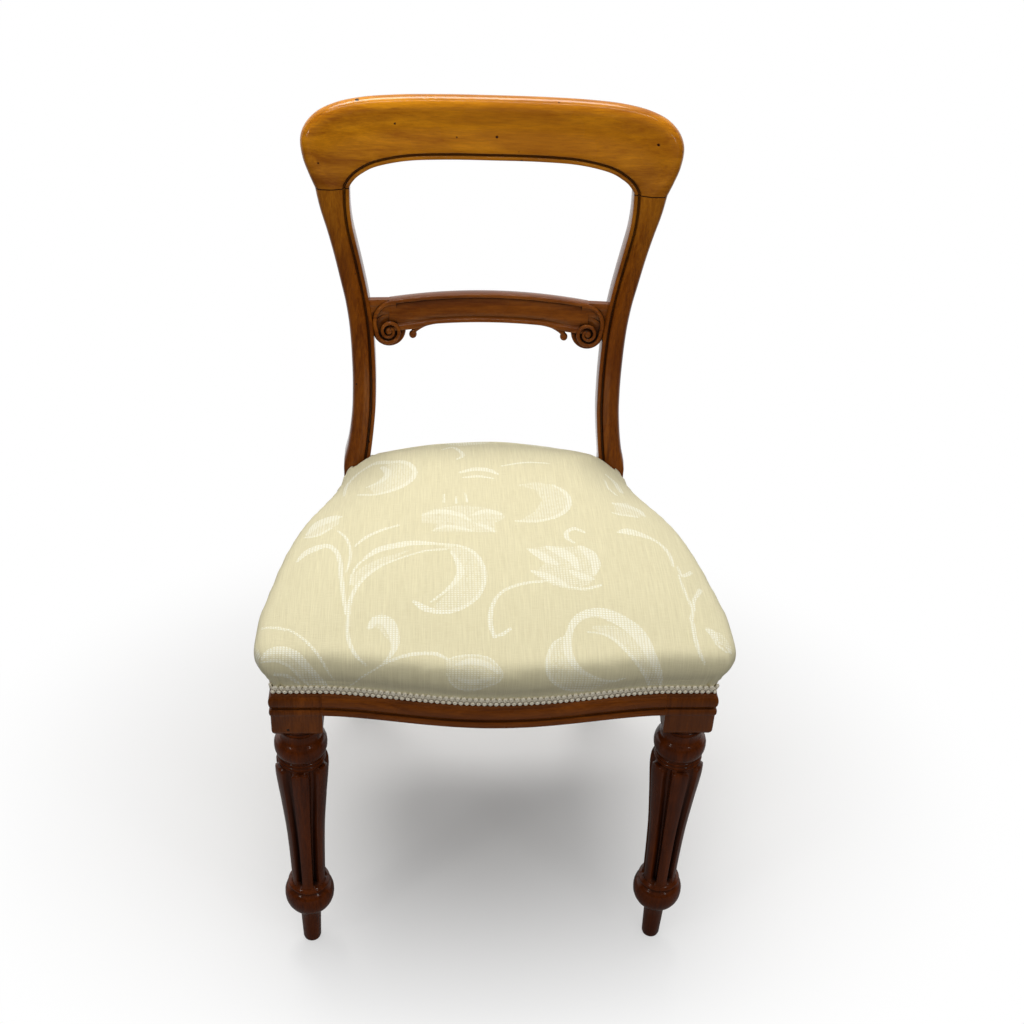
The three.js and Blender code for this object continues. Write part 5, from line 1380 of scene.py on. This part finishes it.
woven = add_math(damask_tree, "MAXIMUM", add_math(
    damask_tree, "MULTIPLY", figure_mask, add_math(
        damask_tree, "MULTIPLY", add_range(damask_tree, net, 0.08, 0.5, 0.2, 1.0),
        add_range(damask_tree, thread_noise((420, 160, 1)), 0.26, 0.42, 0.45, 1.0))),
    add_math(damask_tree, "MULTIPLY", hatch_threads, 0.62))
ground = add_mix(damask_tree, add_range(damask_tree, warp_noise, 0.3, 0.7),
                 (0.695, 0.63, 0.40, 1), (0.815, 0.755, 0.505, 1))
ground = add_mix(damask_tree, add_range(damask_tree, strie_noise, 0.4, 0.7, 0.0, 0.5),
                 ground, (0.67, 0.61, 0.39, 1))
ground = add_mix(damask_tree, add_range(damask_tree, weft_noise, 0.4, 0.75, 0.0, 0.4),
                 ground, (0.84, 0.785, 0.55, 1))
cloth_colour = add_mix(damask_tree, woven, ground, (0.94, 0.925, 0.785, 1))
cloth_height = add_math(damask_tree, "ADD", add_math(
    damask_tree, "MULTIPLY", warp_noise, 0.5), add_math(
    damask_tree, "MULTIPLY", add_math(damask_tree, "ADD", weft_noise, woven), 0.6))
cloth_bump = add_node(damask_tree, "ShaderNodeBump", {
    "Strength": 0.5, "Distance": 0.0006, "Height": cloth_height})
cloth_rough = add_range(damask_tree, woven, 0, 1, 0.82, 0.58)
add_surface(damask_tree, {
    "Base Color": cloth_colour, "Roughness": cloth_rough, "Normal": cloth_bump.outputs[0],
    "Specular IOR Level": 0.25, "Sheen Weight": 0.15, "Sheen Roughness": 0.45})


# Gimp: cream braid glued over the cover's raw edge. Two staggered rows of small full loops
# stand on a narrow band.
gimp_material, gimp_tree = new_material("gimp_braid")
gimp_place = add_node(gimp_tree, "ShaderNodeTexCoord").outputs["Object"]
# painted shade: the gaps between the loops and under the braid are darkened to a dark brown by
# an ambient-occlusion mask
gimp_painted_shade = use_group(gimp_tree, grime_and_shade_group, {"Reach": 0.003, "Amount": 0.7})
gimp_thread = add_noise(gimp_tree, gimp_place, 600.0, 1.0)
gimp_tone = add_mix(gimp_tree, add_range(gimp_tree, gimp_thread, 0.35, 0.65),
                    (0.88, 0.80, 0.63, 1), (0.97, 0.92, 0.78, 1))
gimp_colour = add_mix(gimp_tree, gimp_painted_shade.outputs["Mask"], gimp_tone,
                      (0.20, 0.15, 0.085, 1))
gimp_bump = add_node(gimp_tree, "ShaderNodeBump", {
    "Strength": 0.5, "Distance": 0.0004, "Height": gimp_thread})
add_surface(gimp_tree, {
    "Base Color": gimp_colour, "Roughness": 0.75, "Normal": gimp_bump.outputs[0],
    "Sheen Weight": 0.12})

loop_pitch = 0.006
loop_radius = 0.0011
loop_thickness = 0.0016
row_inset = 0.0027


def even_steps(line, pitch):
    """Places and outward directions at even steps along a line in plan."""
    steps = []
    travelled, due = 0.0, pitch / 2
    for (x0, y0, out0), (x1, y1, out1) in zip(line, line[1:]):
        length = math.hypot(x1 - x0, y1 - y0)
        while due <= travelled + length:
            share = (due - travelled) / length
            steps.append((Vector((blend(x0, x1, share), blend(y0, y1, share))),
                          out0.lerp(out1, share).normalized()))
            due += pitch
        travelled += length
    return steps


def gimp_at(place, out, along, proud, height):
    """A point on the braid: along it, proud of the hem line and above its lower edge."""
    ahead = Vector((-out.y, out.x))
    plan = place + ahead * along + out * proud
    return Vector((plan.x, floor_y + plan.y, gimp_low + height))


def braid(name, line, replaced):
    """A stretch of gimp along a line in plan."""
    bm = bmesh.new()
    band = [[gimp_at(Vector((x, y)), out, 0, proud, height) for proud, height in
             [(0.0002, 0.0012), (0.0008, 0.0012), (0.0008, 0.0083), (0.0002, 0.0083)]]
            for x, y, out in line]
    swept(bm, band, (0.01, 1.1))
    loops_at = even_steps(line, loop_pitch)
    for i, (place, out) in enumerate(loops_at):
        for row, height in ((0, row_inset), (1, gimp_height - row_inset)):
            along = loop_pitch * (0.25 if row else -0.25)

            def loop_place(u, v, place=place, out=out, height=height, along=along):
                around, turn = 2 * math.pi * v, 2 * math.pi * u
                reach = loop_radius + loop_thickness * math.cos(turn)
                return gimp_at(place, out, along + reach * math.cos(around),
                               0.0015 + loop_thickness * math.sin(turn),
                               height + reach * math.sin(around))

            form_sheet(bm, 4, 8, loop_place, (0.004, 0.011), ends=False)
    piece = new_piece(name, bm, gimp_material)
    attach(piece, "root")
    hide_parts(replaced)


whole_hem = hem_line()
half_count = len(hem_half()) - 7
front_hem = whole_hem[len(whole_hem) - half_count + 1:] + whole_hem[:half_count]
braid("fine_gimp_front", front_hem, "gimp_front")
gimp_back_half = seat_post_half_width - seat_post_width - 0.0004
braid("fine_gimp_back", [(x, back_rail_rear, Vector((0, 1))) for x in (
    gimp_back_half, 0, -gimp_back_half)], "gimp_back")


# Stuffing: the pad of curled hair between the hessian and the cover, which fills the cover
# and lies over the tops of the rails.
def cad_copy(node):
    """A copy of a node's mesh with its points joined and its flat faces whole."""
    bm = bmesh.new()
    bm.from_mesh(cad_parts[node].data)
    bmesh.ops.remove_doubles(bm, verts=bm.verts, dist=2e-6)
    return bm


hair, hair_tree = new_material("curled_hair")
hair_curls = add_noise(hair_tree, add_node(hair_tree, "ShaderNodeTexCoord").outputs["Object"],
                       260.0, 4.0, Distortion=2.5)
hair_colour = add_mix(hair_tree, add_range(hair_tree, hair_curls, 0.35, 0.65),
                      (0.09, 0.055, 0.03, 1), (0.30, 0.21, 0.13, 1))
hair_bump = add_node(hair_tree, "ShaderNodeBump", {
    "Strength": 0.8, "Distance": 0.002, "Height": hair_curls})
add_surface(hair_tree, {
    "Base Color": hair_colour, "Roughness": 0.85, "Normal": hair_bump.outputs[0]})

pad_clear = 0.0008
places = mesh_points(pad_form)
put_points(pad_form, places - (cover_thickness + pad_clear) * np.array(
    [vert.normal for vert in pad_form.vertices]))
pad_room = bpy.data.objects.new("pad_room", pad_form)
bpy.context.scene.collection.objects.link(pad_room)
stuffing = new_piece("fine_stuffing", cad_copy("seat_stuffing"), hair)
cut = stuffing.modifiers.new("in_cover", "BOOLEAN")
cut.operation = "INTERSECT"
cut.solver = "MANIFOLD"
cut.object = pad_room
cut_mesh = finished_mesh(stuffing)
stuffing.modifiers.remove(cut)
stuffing.data = cut_mesh
stuffing.data.materials.clear()
stuffing.data.materials.append(hair)
bpy.data.objects.remove(pad_room)
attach(stuffing, "root")
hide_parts("seat_stuffing")


# Hessian and webbing: jute straps, 50 mm wide, are tacked under the rails and woven over and
# under each other. The springs stand on them, and a sheet of hessian is stretched over these.
weave_group, weave_in, weave_out = new_group("plain_weave", [
    ("Vector", "NodeSocketVector", None), ("Pitch", "NodeSocketFloat", 0.0016)],
    [("Height", "NodeSocketFloat"), ("Thread", "NodeSocketFloat")])
weave_axes = add_node(weave_group, "ShaderNodeSeparateXYZ", {0: weave_in.outputs["Vector"]})
weave_waves = []
for axis in ("X", "Y"):
    turn = add_math(weave_group, "DIVIDE", add_math(
        weave_group, "MULTIPLY", weave_axes.outputs[axis], 2 * math.pi),
        weave_in.outputs["Pitch"])
    weave_waves.append(add_math(weave_group, "SINE", turn))
weave_over = add_math(weave_group, "MULTIPLY", weave_waves[0], weave_waves[1])
weave_slub = add_noise(weave_group, weave_in.outputs["Vector"], 300.0, 3.0)
weave_group.links.new(add_math(weave_group, "ADD", add_math(
    weave_group, "MULTIPLY", weave_over, 0.5), weave_slub),
    weave_out.inputs["Height"])
weave_group.links.new(add_range(weave_group, weave_over, -0.8, 0.9),
                      weave_out.inputs["Thread"])


def jute_material(name, pale, dark, pitch, stripe):
    """Jute cloth on its own map, with or without a dark stripe along each edge."""
    material, tree = new_material(name)
    place = add_node(tree, "ShaderNodeUVMap", uv_map="cloth").outputs[0]
    weave = use_group(tree, weave_group, {"Vector": place, "Pitch": pitch})
    slub = add_noise(tree, place, 90.0, 3.0)
    colour = add_mix(tree, weave.outputs["Thread"], (*dark, 1), (*pale, 1))
    colour = add_mix(tree, add_range(tree, slub, 0.35, 0.7, 0.0, 0.5), colour,
                     (*dark, 1))
    if stripe:
        across = add_math(tree, "ABSOLUTE", add_node(tree, "ShaderNodeSeparateXYZ", {
            0: place}).outputs["Y"])
        here = add_math(tree, "LESS_THAN", add_math(tree, "ABSOLUTE", add_math(
            tree, "SUBTRACT", across, 0.017)), 0.0014)
        colour = add_mix(tree, here, colour, (0.10, 0.03, 0.02, 1))
    bump = add_node(tree, "ShaderNodeBump", {"Strength": 0.6, "Distance": 0.0006,
                                             "Height": weave.outputs["Height"]})
    add_surface(tree, {"Base Color": colour, "Roughness": 0.85, "Normal": bump.outputs[0],
                       "Sheen Weight": 0.1})
    return material


def divided_copy(node, cuts):
    """A copy of a node with its faces divided evenly."""
    bm = cad_copy(node)
    bmesh.ops.join_triangles(bm, faces=bm.faces, angle_face_threshold=0.6,
                             angle_shape_threshold=0.8)
    bmesh.ops.subdivide_edges(bm, edges=bm.edges, cuts=cuts, use_grid_fill=True)
    return bm


def map_cloth(piece, along, middle):
    """Maps a flat piece in metres, along an axis and across from its middle."""
    layer = piece.data.uv_layers.get("cloth") or piece.data.uv_layers.new(name="cloth")
    for loop in piece.data.loops:
        place = piece.data.vertices[loop.vertex_index].co
        layer.data[loop.index].uv = (place[along], place[1 - along] - middle)


hessian = new_piece("fine_hessian", divided_copy("hessian", 2), jute_material(
    "hessian_cloth", (0.43, 0.31, 0.17), (0.17, 0.11, 0.055), 0.0022, False))
map_cloth(hessian, 0, 0)
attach(hessian, "root")
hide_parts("hessian")

jute = jute_material("jute_webbing", (0.47, 0.33, 0.17), (0.20, 0.125, 0.06), 0.003, True)
steel, steel_tree = new_material("dull_steel")
steel_place = add_node(steel_tree, "ShaderNodeTexCoord").outputs["Object"]
steel_spots = add_range(steel_tree, add_noise(steel_tree, steel_place, 140.0, 4.0), 0.5, 0.68)
add_surface(steel_tree, {
    "Base Color": add_mix(steel_tree, steel_spots, (0.42, 0.40, 0.37, 1),
                          (0.13, 0.06, 0.03, 1)),
    "Metallic": add_range(steel_tree, steel_spots, 0, 1, 1.0, 0.1),
    "Roughness": add_range(steel_tree, steel_spots, 0, 1, 0.38, 0.8)})

tack_radius = 0.0036
tack_bm = bmesh.new()
for direction, along in (("lengthways", 1), ("crossways", 0)):
    for number in (1, 2, 3):
        node = f"webbing_{direction}_{number}"
        low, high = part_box(node)
        middle = (low[1 - along] + high[1 - along]) / 2
        strap = new_piece(f"fine_{node}", divided_copy(node, 3), jute, 50)
        map_cloth(strap, along, middle)
        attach(strap, "root")
        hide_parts(node)
        for end, inwards in ((low[along], 1), (high[along], -1)):
            for k in range(4):
                place = Vector((0, 0, 0))
                place[along] = end + inwards * (0.0055 + 0.003 * (k % 2))
                place[1 - along] = middle + (k - 1.5) * 0.0115
                reach = strap.data.vertices
                under = min((v.co for v in reach if abs(v.co[along] - place[along]) < 0.012),
                            key=lambda co: co.z).z
                place.z = under
                dome = bmesh.ops.create_uvsphere(tack_bm, u_segments=10, v_segments=6,
                                                 radius=tack_radius)["verts"]
                bmesh.ops.scale(tack_bm, vec=(1, 1, 0.35), verts=dome)
                bmesh.ops.translate(tack_bm, vec=place, verts=dome)
tacks = new_piece("webbing_tacks", tack_bm, steel)
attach(tacks, "root")


# Springs, corner blocks and back rail: coiled steel springs sewn to the webbing; beech blocks
# screwed into the corners with countersunk screws; a plain mahogany rail behind.
for place in ("front_left", "front_right", "middle", "back_left", "back_right"):
    bm = cad_copy(f"spring_{place}")
    bmesh.ops.join_triangles(bm, faces=bm.faces, angle_face_threshold=0.9,
                             angle_shape_threshold=1.2)
    spring = new_piece(f"fine_spring_{place}", bm, steel)
    spring.data = smoother(spring.data, 2)
    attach(spring, "root")
    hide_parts(f"spring_{place}")

beech = polished_wood("plain_beech", (9, 90, 90), (0.50, 0.33, 0.17), (0.32, 0.19, 0.085),
                      (0.10, 0.055, 0.025), 0.01, grime_and_shade_amount=0.6, coat=0.0)


def eased_copy(node, name, material, ease, shortest):
    """A copy of a node whose long edges are rounded off."""
    bm = cad_copy(node)
    bmesh.ops.dissolve_limit(bm, angle_limit=math.radians(1), verts=bm.verts, edges=bm.edges)
    edges = [edge for edge in bm.edges if len(edge.link_faces) == 2
             and edge.calc_length() > shortest
             and edge.calc_face_angle() > math.radians(30)]
    bmesh.ops.bevel(bm, geom=edges, offset=ease, segments=2, profile=0.5, material=-1,
                    affect="EDGES")
    return new_piece(name, bm, material, 35)


for end in ("front", "back"):
    for side in ("left", "right"):
        node = f"corner_block_{end}_{side}"
        block = eased_copy(node, f"fine_{node}", beech, 0.001, 0.02)
        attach(block, "root")
        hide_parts(node)
back_rail = eased_copy("back_rail", "fine_back_rail", rail_wood, 0.0012, 0.06)
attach(back_rail, "root")
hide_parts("back_rail")

for name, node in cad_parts.items():
    if name.startswith(("block_screw", "crest_dowel")):
        node.data.materials.clear()
        node.data.materials.append(steel if name.startswith("block_screw") else beech)
